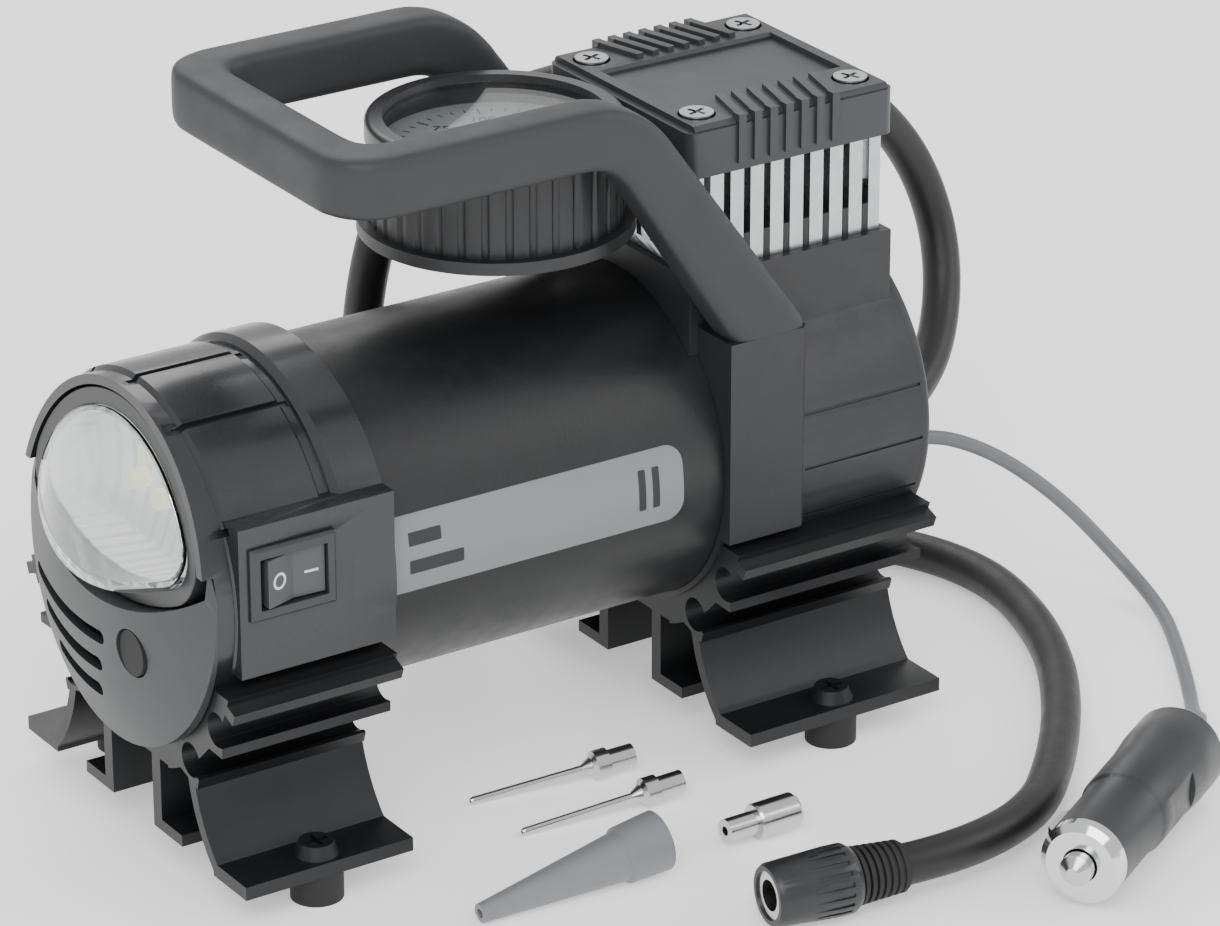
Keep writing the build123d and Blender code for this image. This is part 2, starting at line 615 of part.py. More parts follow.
with BuildPart() as gear_frame:
    bar_x(FRAME_X, FRAME_X + FRAME_THICK, SHELL_IN)
    bar_x(FRAME_X, FRAME_X + FRAME_THICK, CRANK_SHAFT_R + 3, z=CRANK_Z, mode=Mode.SUBTRACT)
    for side in (-1, 1):
        bar_z(AXIS_Z, AXIS_Z + 50, 5.4, HANDLE_SCREW_X, side * (HANDLE_HALF - HANDLE_WIDE / 2), mode=Mode.SUBTRACT)
    block((FRAME_X, FRAME_X + FRAME_THICK), (-30, 30), (BLOCK_BOTTOM - 0.4, BLOCK_BOTTOM + 10), mode=Mode.SUBTRACT)
    with BuildSketch(Plane.YZ.offset(FRAME_X)):
        with Locations((0, AXIS_Z)):
            with PolarLocations(25, 5, start_angle=198, angular_range=180):
                Circle(6)
    extrude(amount=FRAME_THICK, mode=Mode.SUBTRACT)
save(gear_frame, "gear_frame")

# ---- piston -------------------------------------------------------------------------------------
pin_z = CRANK_Z + THROW
with BuildPart() as connecting_rod:
    bar_x(DISC_X + DISC_THICK + GAP, BORE_X + ROD_HALF + 1, PIN_R, z=pin_z)
    bar_x(BORE_X - ROD_HALF, BORE_X + ROD_HALF, 7, z=pin_z)
    block((BORE_X - 2.5, BORE_X + 2.5), (-5, 5), (pin_z, PISTON_TOP - 8))
    bar_z(PISTON_TOP - 9, PISTON_TOP - 4, BORE_R - PISTON_GAP, BORE_X, 0)
    bar_z(PISTON_TOP - 5, PISTON_TOP, 3, BORE_X, 0)
    bar_z(PISTON_TOP - 1.6, PISTON_TOP, 11, BORE_X, 0)
save(connecting_rod, "connecting_rod")

with BuildPart() as piston_cup:
    bar_z(PISTON_TOP - 4, PISTON_TOP - 1.6, BORE_R - RUN, BORE_X, 0)
    bar_z(PISTON_TOP - 4, PISTON_TOP - 1.6, 3, BORE_X, 0, mode=Mode.SUBTRACT)
save(piston_cup, "piston_cup")

# ---- cylinder, valve plate and head -------------------------------------------------------------
gap_xs = [BORE_X + (index - (FIN_GAPS - 1) / 2) * FIN_PITCH for index in range(FIN_GAPS)]
gap_ys = [(index - 3) * FIN_PITCH for index in range(7)]
screw_spots = [(BORE_X + sx * SCREW_X, sy * SCREW_Y) for sx in (-1, 1) for sy in (-1, 1)]
gasket_z = BLOCK_TOP
valve_z = gasket_z + GASKET_THICK
head_z = valve_z + VALVE_THICK
cover_top = head_z + HEAD_THICK + COVER_WALL
strip_top = cover_top + STRIP_RISE
screw_seat = strip_top - 2.0
with BuildPart() as cylinder_block:
    block((BLOCK_X, BLOCK_X + BLOCK_LONG), (-BLOCK_HALF, BLOCK_HALF), (BLOCK_BOTTOM, BLOCK_TOP))
    for gap_x in gap_xs:
        for side in (-1, 1):
            near, far = sorted((side * (BLOCK_HALF - FIN_DEEP), side * (BLOCK_HALF + 1)))
            block((gap_x - FIN_GAP / 2, gap_x + FIN_GAP / 2), (near, far), (BLOCK_BOTTOM - 1, BLOCK_TOP - 1.5),
                  mode=Mode.SUBTRACT)
    for gap_y in gap_ys:
        for start, end in ((BLOCK_X - 1, BLOCK_X + 5), (BLOCK_X + BLOCK_LONG - 5, BLOCK_X + BLOCK_LONG + 1)):
            block((start, end), (gap_y - FIN_GAP / 2, gap_y + FIN_GAP / 2), (BLOCK_BOTTOM + 9, BLOCK_TOP - 1.5),
                  mode=Mode.SUBTRACT)
    bar_x(BLOCK_X, BLOCK_X + 6, STEM_R + 2, z=STEM_Z)
    bar_x(BLOCK_X - 1, BLOCK_X + 5, STEM_R, z=STEM_Z, mode=Mode.SUBTRACT)
    bar_z(BLOCK_BOTTOM - 1, BLOCK_TOP + 1, BORE_R, BORE_X, 0, mode=Mode.SUBTRACT)
    for x, y in screw_spots:
        bar_z(BLOCK_TOP - 14, BLOCK_TOP + 1, SCREW_R, x, y, mode=Mode.SUBTRACT)
save(cylinder_block, "cylinder_block")


def head_layer(low, high, inset, corner):
    """A plate over the block, with its four screw holes, in the part being built."""
    with BuildSketch(Plane.XY.offset(low)) as plate:
        with Locations((BORE_X, 0)):
            RectangleRounded(BLOCK_LONG - 2 * inset, 2 * (BLOCK_HALF - inset), corner)
        with Locations(*screw_spots):
            Circle(SCREW_R + SLIP, mode=Mode.SUBTRACT)
    extrude(plate.sketch, amount=high - low)


with BuildPart() as head_gasket:
    head_layer(gasket_z, valve_z, 0.2, 2)
    bar_z(gasket_z - 1, valve_z + 1, BORE_R, BORE_X, 0, mode=Mode.SUBTRACT)
save(head_gasket, "head_gasket")

with BuildPart() as valve_plate:
    head_layer(valve_z, head_z, 0.2, 2)
    for x, y in ((-6, 0), (6, 0)):
        bar_z(valve_z - 1, head_z + 1, 2, BORE_X + x, y, mode=Mode.SUBTRACT)
save(valve_plate, "valve_plate")

with BuildPart() as cylinder_head:
    head_layer(head_z, head_z + HEAD_THICK, 0.4, 3)
    for half in (-1, 1):
        near, far = sorted((BORE_X + half * 1.5, BORE_X + half * 13))
        block((near, far), (-10, 10), (head_z - 1, head_z + HEAD_THICK - 2), mode=Mode.SUBTRACT)
save(cylinder_head, "cylinder_head")

with BuildPart() as head_cover:
    with BuildSketch(Plane.XY.offset(COVER_BOTTOM)):
        with Locations((BORE_X, 0)):
            RectangleRounded(BLOCK_LONG + 2 * (COVER_HALF - BLOCK_HALF), 2 * COVER_HALF, 3)
    extrude(amount=cover_top - COVER_BOTTOM)
    for side in (-1, 1):
        near, far = sorted((side * (COVER_HALF - 0.6), side * (COVER_HALF - STRIP_WIDE)))
        block((BLOCK_X - 0.5, BLOCK_X + BLOCK_LONG + 0.5), (near, far), (cover_top, strip_top))
    for end in (BLOCK_X - 0.5, BLOCK_X + BLOCK_LONG - 2.5):
        block((end, end + 3), (STRIP_WIDE - COVER_HALF, COVER_HALF - STRIP_WIDE), (cover_top, strip_top))
    chamfer(head_cover.edges().group_by(Axis.Z)[-1].filter_by(Axis.X), 0.8)
    for side in (-1, 1):
        for rib in range(RIBS):
            x = BORE_X + (rib - (RIBS - 1) / 2) * 4.6
            with Locations(Location((x, side * (COVER_HALF - 7.4), strip_top), (0, 0, side * RIB_SLANT))):
                Box(2.2, 14.0, 2 * RIB_RISE)
            near, far = sorted((side * (COVER_HALF - 2), side * (COVER_HALF + 0.8)))
            hook_x = x - 1.7
            block((hook_x - 1.1, hook_x + 1.1), (near, far), (COVER_BOTTOM + 2, strip_top + RIB_RISE))
    cavity = BLOCK_HALF + SLIP
    block((BLOCK_X - SLIP, BLOCK_X + BLOCK_LONG + SLIP), (-cavity, cavity),
          (COVER_BOTTOM - 1, head_z + HEAD_THICK), mode=Mode.SUBTRACT)
    for x, y in screw_spots:
        bar_z(COVER_BOTTOM, strip_top + 1, SCREW_R + SLIP, x, y, mode=Mode.SUBTRACT)
        bar_z(screw_seat, strip_top + 1, SCREW_HEAD_R + 0.5, x, y, mode=Mode.SUBTRACT)
save(head_cover, "head_cover")

with BuildPart() as head_screws:
    for x, y in screw_spots:
        bar_z(BLOCK_TOP - 13.5, screw_seat, SCREW_R, x, y)
        bar_z(screw_seat, screw_seat + 2.6, SCREW_HEAD_R, x, y)
        for turn in (20, 110):
            with Locations(Location((x, y, screw_seat + 2.2), (0, 0, turn))):
                Box(5.2, 1.1, 2, mode=Mode.SUBTRACT)
save(head_screws, "head_screws")

# ---- rear casing --------------------------------------------------------------------------------
rear_screws = [(REAR_SCREW_R * cos(radians(a)), AXIS_Z + REAR_SCREW_R * sin(radians(a))) for a in (20, 160, 270)]
handle_screw_y = HANDLE_HALF - HANDLE_WIDE / 2
with BuildPart() as shoulder:
    block((CASE_FRONT, SHOULDER_REAR), (-SHOULDER_HALF, SHOULDER_HALF), (SHOULDER_BOTTOM, SHOULDER_TOP))
    chamfer(shoulder.edges().filter_by(Axis.Z).group_by(Axis.X)[-1], 1.6)
with BuildPart() as bosses:
    for y, z in rear_screws:
        bar_x(CASE_REAR - 16, CASE_REAR, 4, y, z)
    for x in REAR_BRACKET_SCREWS:
        bar_z(30, BRACKET_SCREW_TOP, 5, x, 0)
    bar_x(CASE_FRONT, CASE_REAR, SHELL_R - 1, mode=Mode.INTERSECT)
with BuildPart() as rear_casing:
    bar_x(CASE_FRONT, CASE_REAR, SHELL_R)
    add(shoulder.part)
    tower_half = BLOCK_HALF + SLIP + TOWER_WALL
    block((BLOCK_X - SLIP - TOWER_WALL, BLOCK_X + BLOCK_LONG + SLIP + TOWER_WALL), (-tower_half, tower_half),
          (AXIS_Z + 20, TOWER_TOP))
    for angle in PANEL_LINES:
        for side in (0, 180):
            turn = side + angle if side else -angle
            with Locations(Location(((SHOULDER_REAR + CASE_REAR) / 2, 0, AXIS_Z), (turn, 0, 0))):
                with Locations((1, -SHELL_R, 0)):
                    Box(CASE_REAR - SHOULDER_REAR + 2, 1.0, 0.8, mode=Mode.SUBTRACT)
    bar_x(BARREL_REAR + SLIP, CASE_REAR, SHELL_IN, mode=Mode.SUBTRACT)
    bar_x(CASE_FRONT - 5, BARREL_REAR + SLIP, BARREL_R + SLIP, mode=Mode.SUBTRACT)
    block((BLOCK_X + 5, BLOCK_X + BLOCK_LONG - 5), (3 - BLOCK_HALF, BLOCK_HALF - 3), (AXIS_Z + 20, TOWER_TOP + 1),
          mode=Mode.SUBTRACT)
    pocket = BLOCK_HALF + SLIP
    block((BLOCK_X - SLIP, BLOCK_X + BLOCK_LONG + SLIP), (-pocket, pocket), (BLOCK_BOTTOM, TOWER_TOP + 1),
          mode=Mode.SUBTRACT)
    tooth = FIN_GAP / 2 - SLIP
    for gap_x in gap_xs:
        for side in (-1, 1):
            near, far = sorted((side * (BLOCK_HALF - FIN_DEEP + 1), side * BLOCK_HALF))
            block((gap_x - tooth, gap_x + tooth), (near, far), (BLOCK_BOTTOM - 1, TOOTH_TOP))
            near, far = sorted((side * (BLOCK_HALF - 1), side * (BLOCK_HALF + 1)))
            block((gap_x - tooth, gap_x + tooth), (near, far), (BLOCK_BOTTOM - 1, TOWER_TOP))
    add(bosses.part)
    for x in REAR_BRACKET_SCREWS:
        bar_z(0, BRACKET_SCREW_TOP - 2, BRACKET_SCREW_R, x, 0, mode=Mode.SUBTRACT)
    for y, z in rear_screws:
        bar_x(CASE_REAR - 14, CASE_REAR, 1.6, y, z, mode=Mode.SUBTRACT)
    for side in (-1, 1):
        bar_z(80, SHOULDER_TOP + 1, HANDLE_SCREW_R + SLIP, HANDLE_SCREW_X, side * handle_screw_y, mode=Mode.SUBTRACT)
        bar_z(80, SHOULDER_TOP - 12, 4.8, HANDLE_SCREW_X, side * handle_screw_y, mode=Mode.SUBTRACT)
save(rear_casing, "rear_casing")

with BuildPart() as rear_cover:
    bar_x(CASE_REAR, CASE_REAR + COVER_THICK, SHELL_R)
    fillet(rear_cover.edges().group_by(Axis.X)[-1], 2.0)
    with BuildSketch(Plane.YZ.offset(CASE_REAR)):
        for row in range(5):
            with Locations((0, AXIS_Z + 4 + 6 * row)):
                SlotOverall(44 - 5 * row, 2.6)
    extrude(amount=COVER_THICK, mode=Mode.SUBTRACT)
    bar_x(CASE_REAR - 1, CASE_REAR + 4, GLAND_R, GLAND_Y, GLAND_Z, mode=Mode.SUBTRACT)
    bar_x(CASE_REAR - 1, CASE_REAR + 4, 5.5, OUTLET_Y, OUTLET_Z, mode=Mode.SUBTRACT)
    for y, z in rear_screws:
        bar_x(CASE_REAR - 1, CASE_REAR + 4, 1.6 + SLIP, y, z, mode=Mode.SUBTRACT)
save(rear_cover, "rear_cover")

# ---- handle -------------------------------------------------------------------------------------
handle_mid = HANDLE_LOW + HANDLE_HIGH / 2
handle_end = HANDLE_BEND_X + (handle_mid - SHOULDER_TOP + 20) / tan(radians(HANDLE_DROP))
with BuildPart() as handle:
    with BuildSketch(Plane.XZ.offset(-HANDLE_HALF)):
        with BuildLine():
            FilletPolyline((HANDLE_FRONT, handle_mid), (HANDLE_BEND_X, handle_mid),
                           (handle_end, SHOULDER_TOP - 20), radius=HANDLE_BEND_R)
        trace(line_width=HANDLE_HIGH)
    extrude(amount=2 * HANDLE_HALF)
    with BuildSketch(Plane.XY) as plan:
        with Locations((HANDLE_FRONT + 100, 0)):
            Rectangle(200, 2 * HANDLE_HALF)
        fillet(plan.vertices().group_by(Axis.X)[0], HANDLE_CORNER)
    extrude(amount=220, mode=Mode.INTERSECT)
    with BuildSketch(Plane.XY) as hand_room:
        with Locations((HANDLE_FRONT + HANDLE_WIDE + 100, 0)):
            Rectangle(200, 2 * (HANDLE_HALF - HANDLE_WIDE))
        fillet(hand_room.vertices().group_by(Axis.X)[0], HANDLE_CORNER / 2)
    extrude(amount=220, mode=Mode.SUBTRACT)
    block((SHOULDER_REAR - 0.4, 200), (-100, 100), (0, 200), mode=Mode.SUBTRACT)
    block((-100, 200), (-100, 100), (0, SHOULDER_TOP), mode=Mode.SUBTRACT)
    for side in (-1, 1):
        bar_z(SHOULDER_TOP - 1, SHOULDER_TOP + 13, HANDLE_SCREW_R, HANDLE_SCREW_X, side * handle_screw_y,
              mode=Mode.SUBTRACT)
save(handle, "handle")

# ---- gauge --------------------------------------------------------------------------------------
bezel_z = GAUGE_TOP - BEZEL_HIGH
gauge_in = GAUGE_R - GAUGE_WALL
with BuildPart() as gauge_housing:
    bar_z(GAUGE_BOTTOM, bezel_z, GAUGE_R, GAUGE_X, 0)
    bar_z(GAUGE_BOTTOM, GAUGE_BOTTOM + 3.2, GAUGE_LIP_R, GAUGE_X, 0)
    with BuildSketch(Plane.XY.offset(GAUGE_BOTTOM + 3.2)):
        with Locations((GAUGE_X, 0)):
            with PolarLocations(GAUGE_R + 0.6, GAUGE_FLUTES):
                Circle(1.2)
    extrude(amount=bezel_z - GAUGE_BOTTOM - 3.2, mode=Mode.SUBTRACT)
    bar_z(GAUGE_BOTTOM + GAUGE_WALL, bezel_z + 1, gauge_in, GAUGE_X, 0, mode=Mode.SUBTRACT)
    bar_x(GAUGE_X + 20, BLOCK_X, STEM_R, z=STEM_Z, mode=Mode.SUBTRACT)
save(gauge_housing, "gauge_housing")

with BuildPart() as gauge_bezel:
    bar_z(bezel_z, GAUGE_TOP, GAUGE_R + 0.4, GAUGE_X, 0)
    fillet(gauge_bezel.edges().group_by(Axis.Z)[-1], 1.6)
    bar_z(bezel_z - 1, GAUGE_TOP - 1.8, gauge_in, GAUGE_X, 0, mode=Mode.SUBTRACT)
    bar_z(bezel_z - 1, GAUGE_TOP + 1, gauge_in - 1.6, GAUGE_X, 0, mode=Mode.SUBTRACT)
save(gauge_bezel, "gauge_bezel")

with BuildPart() as gauge_lens:
    bar_z(GAUGE_TOP - 4.2, GAUGE_TOP - 1.8, gauge_in, GAUGE_X, 0)
save(gauge_lens, "gauge_lens")

with BuildPart() as gauge_dial:
    bar_z(DIAL_Z - 1, DIAL_Z, gauge_in - SLIP, GAUGE_X, 0)
    bar_z(DIAL_Z - 2, DIAL_Z + 1, ARBOR_R + GAP, GAUGE_X, 0, mode=Mode.SUBTRACT)
save(gauge_dial, "gauge_dial")

with BuildPart() as gauge_movement:
    bar_z(GAUGE_BOTTOM + GAUGE_WALL, DIAL_Z - 1, 12, GAUGE_X, 0)
    block((GAUGE_X - 22, GAUGE_X + 22), (-4, 4), (DIAL_Z - 4, DIAL_Z - 1))
    bar_x(GAUGE_X, BLOCK_X + 5, STEM_R, z=STEM_Z)
    nut_x = GAUGE_X + GAUGE_LIP_R + GAP
    with BuildSketch(Plane.YZ.offset(nut_x)):
        with Locations((0, STEM_Z)):
            RegularPolygon(6.6, 6)
    extrude(amount=BLOCK_X - GAP - nut_x)
    bar_z(DIAL_Z - 8, DIAL_Z + 1, ARBOR_R + RUN, GAUGE_X, 0, mode=Mode.SUBTRACT)
    bar_x(GAUGE_X + 20, BLOCK_X + 6, 1.5, z=STEM_Z, mode=Mode.SUBTRACT)
save(gauge_movement, "gauge_movement")

needle_turn = -125.0
with BuildPart() as gauge_needle:
    bar_z(DIAL_Z - 7, NEEDLE_Z + 1, ARBOR_R, GAUGE_X, 0)
    bar_z(NEEDLE_Z, NEEDLE_Z + 1.6, 3, GAUGE_X, 0)
    with BuildSketch(Plane(origin=(GAUGE_X, 0, NEEDLE_Z)).rotated((0, 0, needle_turn))):
        Polygon((-7, -1.4), (-7, 1.4), (gauge_in - 6, 0.35), (gauge_in - 6, -0.35), align=None)
    extrude(amount=0.8)
save(gauge_needle, "gauge_needle")


# ---- foot brackets ------------------------------------------------------------------------------
def bracket_section(x) -> Sketch:
    """The cross-section of an extruded foot bracket, on the plane at x."""
    with BuildSketch(Plane.YZ.offset(x)) as section:
        with Locations((0, AXIS_Z)):
            Circle(SHELL_R + 7)
            Circle(SHELL_R, mode=Mode.SUBTRACT)
        with Locations((0, AXIS_Z + 35)):
            Rectangle(140, 106, mode=Mode.SUBTRACT)
        with Locations((0, AXIS_Z - SHELL_R - 3 - 20)):
            Rectangle(36, 40, mode=Mode.SUBTRACT)
        for side in (-1, 1):
            for start, end, wide in (((43, 56.6), (LEDGE_OUT, 53.6), 3.0), ((33, 43), (44.6, 42.6), 2.6),
                                     ((20, 33.5), (32.5, 29.4), 3.0)):
                with BuildLine(mode=Mode.PRIVATE) as fin:
                    Line((side * start[0], start[1]), (side * end[0], end[1]))
                trace(fin.line, line_width=wide)
            with BuildLine(mode=Mode.PRIVATE) as skirt:
                ThreePointArc((side * 29, 31), (side * 33.2, 19), (side * 40.4, FLANGE_Z + 1.6))
            trace(skirt.line, line_width=LEG_WALL)
            for low, high, bottom, top in ((38.6, FLANGE_HALF, FLANGE_Z, FLANGE_Z + FLANGE_THICK),
                                           (ARCH_R, ARCH_R + LEG_WALL + 1, FLANGE_Z + 1, 34),
                                           (ARCH_R, 23.7, FLANGE_Z + 1, FLANGE_Z + 1 + LEG_WALL)):
                with Locations((side * (low + high) / 2, (bottom + top) / 2)):
                    Rectangle(high - low, top - bottom)
            with Locations((side * 42.4, 48), (side * 29.4, 34.7)):
                Circle(4.4, mode=Mode.SUBTRACT)
        with Locations((0, AXIS_Z)):
            Circle(SHELL_R, mode=Mode.SUBTRACT)
    return section.sketch


feet = [(sx * FOOT_X, sy * FOOT_Y) for sx in (-1, 1) for sy in (-1, 1)]
bracket_screw_spots = (-FOOT_X, *REAR_BRACKET_SCREWS)
seat_z = AXIS_Z - SHELL_R - 3
brackets = []
for station, screws in ((FRONT_BRACKET, bracket_screw_spots[:1]), (REAR_BRACKET, bracket_screw_spots[1:])):
    with BuildPart() as bracket:
        extrude(bracket_section(station[0]), amount=station[1] - station[0])
        for x in screws:
            bar_z(0, AXIS_Z, BRACKET_SCREW_R + SLIP, x, 0, mode=Mode.SUBTRACT)
        for x, y in feet:
            bar_z(0, FLANGE_Z + 10, FOOT_SCREW_R + SLIP, x, y, mode=Mode.SUBTRACT)
    brackets.append(bracket)
save(brackets[0], "front_foot_bracket")
save(brackets[1], "rear_foot_bracket")

with BuildPart() as rubber_feet:
    for x, y in feet:
        bar_z(0, FLANGE_Z, FOOT_R, x, y)
    for x, y in feet:
        bar_z(FOOT_SCREW_TIP, FLANGE_Z + 1, FOOT_SCREW_R, x, y, mode=Mode.SUBTRACT)
save(rubber_feet, "rubber_feet")

foot_seat = FLANGE_Z + FLANGE_THICK
with BuildPart() as casing_screws:
    for x, y in feet:
        bar_z(FOOT_SCREW_TIP, foot_seat, FOOT_SCREW_R, x, y)
        with Locations((x, y, foot_seat)):
            Cone(5.5, 4.2, 3.2, align=(Align.CENTER, Align.CENTER, Align.MIN))
        with Locations((x, y, foot_seat + 3.2)):
            Box(6, 1.2, 3, mode=Mode.SUBTRACT)
            Box(1.2, 6, 3, mode=Mode.SUBTRACT)
    for x in bracket_screw_spots:
        bar_z(seat_z, BRACKET_SCREW_TOP - 2.5, BRACKET_SCREW_R, x, 0)
        bar_z(seat_z - 2.4, seat_z, 4, x, 0)
        with Locations((x, 0, seat_z - 2.4)):
            Box(4, 1, 2, mode=Mode.SUBTRACT)
            Box(1, 4, 2, mode=Mode.SUBTRACT)
    for y in (-handle_screw_y, handle_screw_y):
        bar_z(SHOULDER_TOP - 12, SHOULDER_TOP + 12, HANDLE_SCREW_R, HANDLE_SCREW_X, y)
        bar_z(SHOULDER_TOP - 15, SHOULDER_TOP - 12, 4.4, HANDLE_SCREW_X, y)
        with Locations((HANDLE_SCREW_X, y, SHOULDER_TOP - 15)):
            Box(4, 1, 2, mode=Mode.SUBTRACT)
            Box(1, 4, 2, mode=Mode.SUBTRACT)
    for y, z in rear_screws:
        bar_x(CASE_REAR - 12, CASE_REAR + COVER_THICK, 1.6, y, z)
        bar_x(CASE_REAR + COVER_THICK, CASE_REAR + COVER_THICK + 2, 3.2, y, z)
        for size in ((2, 3.6, 0.9), (2, 0.9, 3.6)):
            with Locations((CASE_REAR + COVER_THICK + 2, y, z)):
                Box(*size, mode=Mode.SUBTRACT)
save(casing_screws, "casing_screws")


# ---- air hose -----------------------------------------------------------------------------------
def tube(points, radius) -> Part:
    """A round soft line: straight runs joined by tangent arcs. Prints its radii and its volume."""
    runs = [Vector(*b) - Vector(*a) for a, b in zip(points, points[1:])]
    radii = []
    for before, after in zip(runs, runs[1:]):
        half_turn = radians(before.get_angle(after)) / 2
        radii.append(0.45 * min(before.length, after.length) / tan(half_turn))
    with BuildPart() as soft:
        with BuildLine() as route:
            FilletPolyline(*points, radius=radii)
        start = route.wires()[0]
        with BuildSketch(Plane(origin=start @ 0, z_dir=start % 0)):
            Circle(radius)
        sweep(path=start)
    expected = pi * radius**2 * start.length
    print(f"smallest radius {min(radii):.1f} mm, length {start.length:.0f} mm, "
          f"volume ratio {soft.part.volume / expected:.3f}")
    return soft.part


chuck_line = lying(CHUCK_FRONT[0], CHUCK_FRONT[1], CHUCK_R + 0.2, CHUCK_TURN)
relief_end = CHUCK_LONG + 0.6 + RELIEF_LONG
hose_end = chuck_line.from_local_coords((relief_end, 0, 0))
hose_lead = chuck_line.from_local_coords((relief_end + 34, 0, 0))
HOSE_POINTS = [(HOSE_START, OUTLET_Y, OUTLET_Z), (138, OUTLET_Y, OUTLET_Z), (163, 29, 54), (179, 47, 79),
               (171, 55, 109), (142, 54, 134), (102, 54, 145), (56, 54, 148), (15, 54, 140), (1, 55, 104),
               (3, FLANGE_HALF + 5, 56), (28, FLANGE_HALF + 13, HOSE_FLOOR_Z), (82, FLANGE_HALF + 14, HOSE_FLOOR_Z),
               (134, 52, HOSE_FLOOR_Z),
               (162, 8, HOSE_FLOOR_Z), (150, -42, HOSE_FLOOR_Z), (118, -88, HOSE_FLOOR_Z),
               (hose_lead.X, hose_lead.Y, hose_lead.Z), (hose_end.X, hose_end.Y, hose_end.Z)]
with BuildPart() as air_hose:
    add(tube(HOSE_POINTS, HOSE_R))
save(air_hose, "air_hose")

with BuildPart() as hose_outlet_fitting:
    bar_x(CASE_REAR - 6, CASE_REAR + COVER_THICK, 5.4, OUTLET_Y, OUTLET_Z)
    with BuildSketch(Plane.YZ.offset(CASE_REAR + COVER_THICK)):
        with Locations((OUTLET_Y, OUTLET_Z)):
            RegularPolygon(7.5, 6)
    extrude(amount=HOSE_START - CASE_REAR - COVER_THICK)
    bar_x(CASE_REAR - 7, HOSE_START + 1, 2.5, OUTLET_Y, OUTLET_Z, mode=Mode.SUBTRACT)
save(hose_outlet_fitting, "hose_outlet_fitting")

# ---- chuck --------------------------------------------------------------------------------------
with BuildPart() as chuck_sleeve:
    turned(chuck_line, [(0, 6.05), (0, 7.2), (1, 7.8), (16, CHUCK_R), (20.4, CHUCK_R), (CHUCK_LONG, 7.6),
                        (CHUCK_LONG, 4.5), (14.2, 4.5), (14.2, 6.05)])
    with Locations(chuck_line.location):
        for rib in range(20):
            with Locations(Location((10, 0, 0), (360 * rib / 20, 0, 0))):
                with Locations((1, CHUCK_R + 0.3, 0)):
                    Box(16, 1.4, 1.1, mode=Mode.SUBTRACT)
save(chuck_sleeve, "chuck_sleeve")

with BuildPart() as chuck_thread_insert:
    turned(chuck_line, [(0.6, CHUCK_BORE_R), (0.6, 6.05), (10.5, 6.05), (10.5, CHUCK_BORE_R)])
save(chuck_thread_insert, "chuck_thread_insert")

with BuildPart() as chuck_stem:
    turned(chuck_line, [(12, 1.5), (12, 5.6), (13.8, 5.6), (13.8, 4.42), (30, 4.42), (30, 1.5)])
save(chuck_stem, "chuck_stem")

with BuildPart() as hose_strain_relief:
    pitch = RELIEF_LONG / RELIEF_RINGS
    front = CHUCK_LONG + 0.6
    rim = [(front, 4.42)]
    for ring in range(RELIEF_RINGS):
        rim += [(front + ring * pitch, RELIEF_R - 0.12 * ring), (front + (ring + 0.62) * pitch, RELIEF_R - 0.12 * ring),
                (front + (ring + 0.62) * pitch, RELIEF_R - 1.2), (front + (ring + 1) * pitch, RELIEF_R - 1.2)]
    turned(chuck_line, rim + [(relief_end, 1.5), (30, 1.5), (30, 4.42)])
save(hose_strain_relief, "hose_strain_relief")

# ---- plug ---------------------------------------------------------------------------------------
plug_line = lying(PLUG_NOSE[0], PLUG_NOSE[1], PLUG_Z, PLUG_TURN)
fuse_end = PLUG_LONG - 17
with BuildPart() as plug_shell:
    turned(plug_line, [(NOSE_AT + 4, 0), (NOSE_AT + 4, PLUG_NOSE_R), (32, PLUG_NOSE_R), (34, PLUG_R),
                       (52, PLUG_R), (60, PLUG_TAIL_R), (PLUG_LONG - 3, PLUG_TAIL_R), (PLUG_LONG - 1, PLUG_TAIL_R - 1),
                       (PLUG_LONG, 6), (PLUG_LONG, 0)])
    turned(plug_line, [(NOSE_AT + 3, 0), (NOSE_AT + 3, TIP_R + RUN), (12, TIP_R + RUN), (12, 7), (PLUG_LONG - 6, 7),
                       (PLUG_LONG - 6, 0)], mode=Mode.SUBTRACT)
    with Locations(plug_line.location):
        with Locations((20, 0, -PLUG_NOSE_R)):
            Box(14 + 2 * GAP, 5 + 2 * GAP, 12, mode=Mode.SUBTRACT)
        for side in (-1, 1):
            with Locations((46, 0, side * (PLUG_R + 0.2))):
                Box(14, 12, 2.4, mode=Mode.SUBTRACT)
save(plug_shell, "plug_shell")

with BuildPart() as plug_nose_ring:
    turned(plug_line, [(NOSE_AT, TIP_R + GAP), (NOSE_AT, 8.6), (NOSE_AT + 1.4, PLUG_NOSE_R),
                       (NOSE_AT + 4, PLUG_NOSE_R), (NOSE_AT + 4, TIP_R + GAP)])
save(plug_nose_ring, "plug_nose_ring")

with BuildPart() as plug_tip:
    turned(plug_line, [(0, 0), (0, 1.5), (2, TIP_R), (15, TIP_R), (15, 0)])
    turned(plug_line, [(12.3, 0), (12.3, 6), (14, 6), (14, 0)])
save(plug_tip, "plug_tip")

with BuildPart() as plug_fuse:
    turned(plug_line, [(15 + TIP_TRAVEL + GAP, 2.5), (15 + TIP_TRAVEL + GAP, 6.2), (27, 6.2), (27, 3), (fuse_end, 3),
                       (fuse_end, 0), (27, 0), (27, 2.5)])
save(plug_fuse, "plug_fuse")

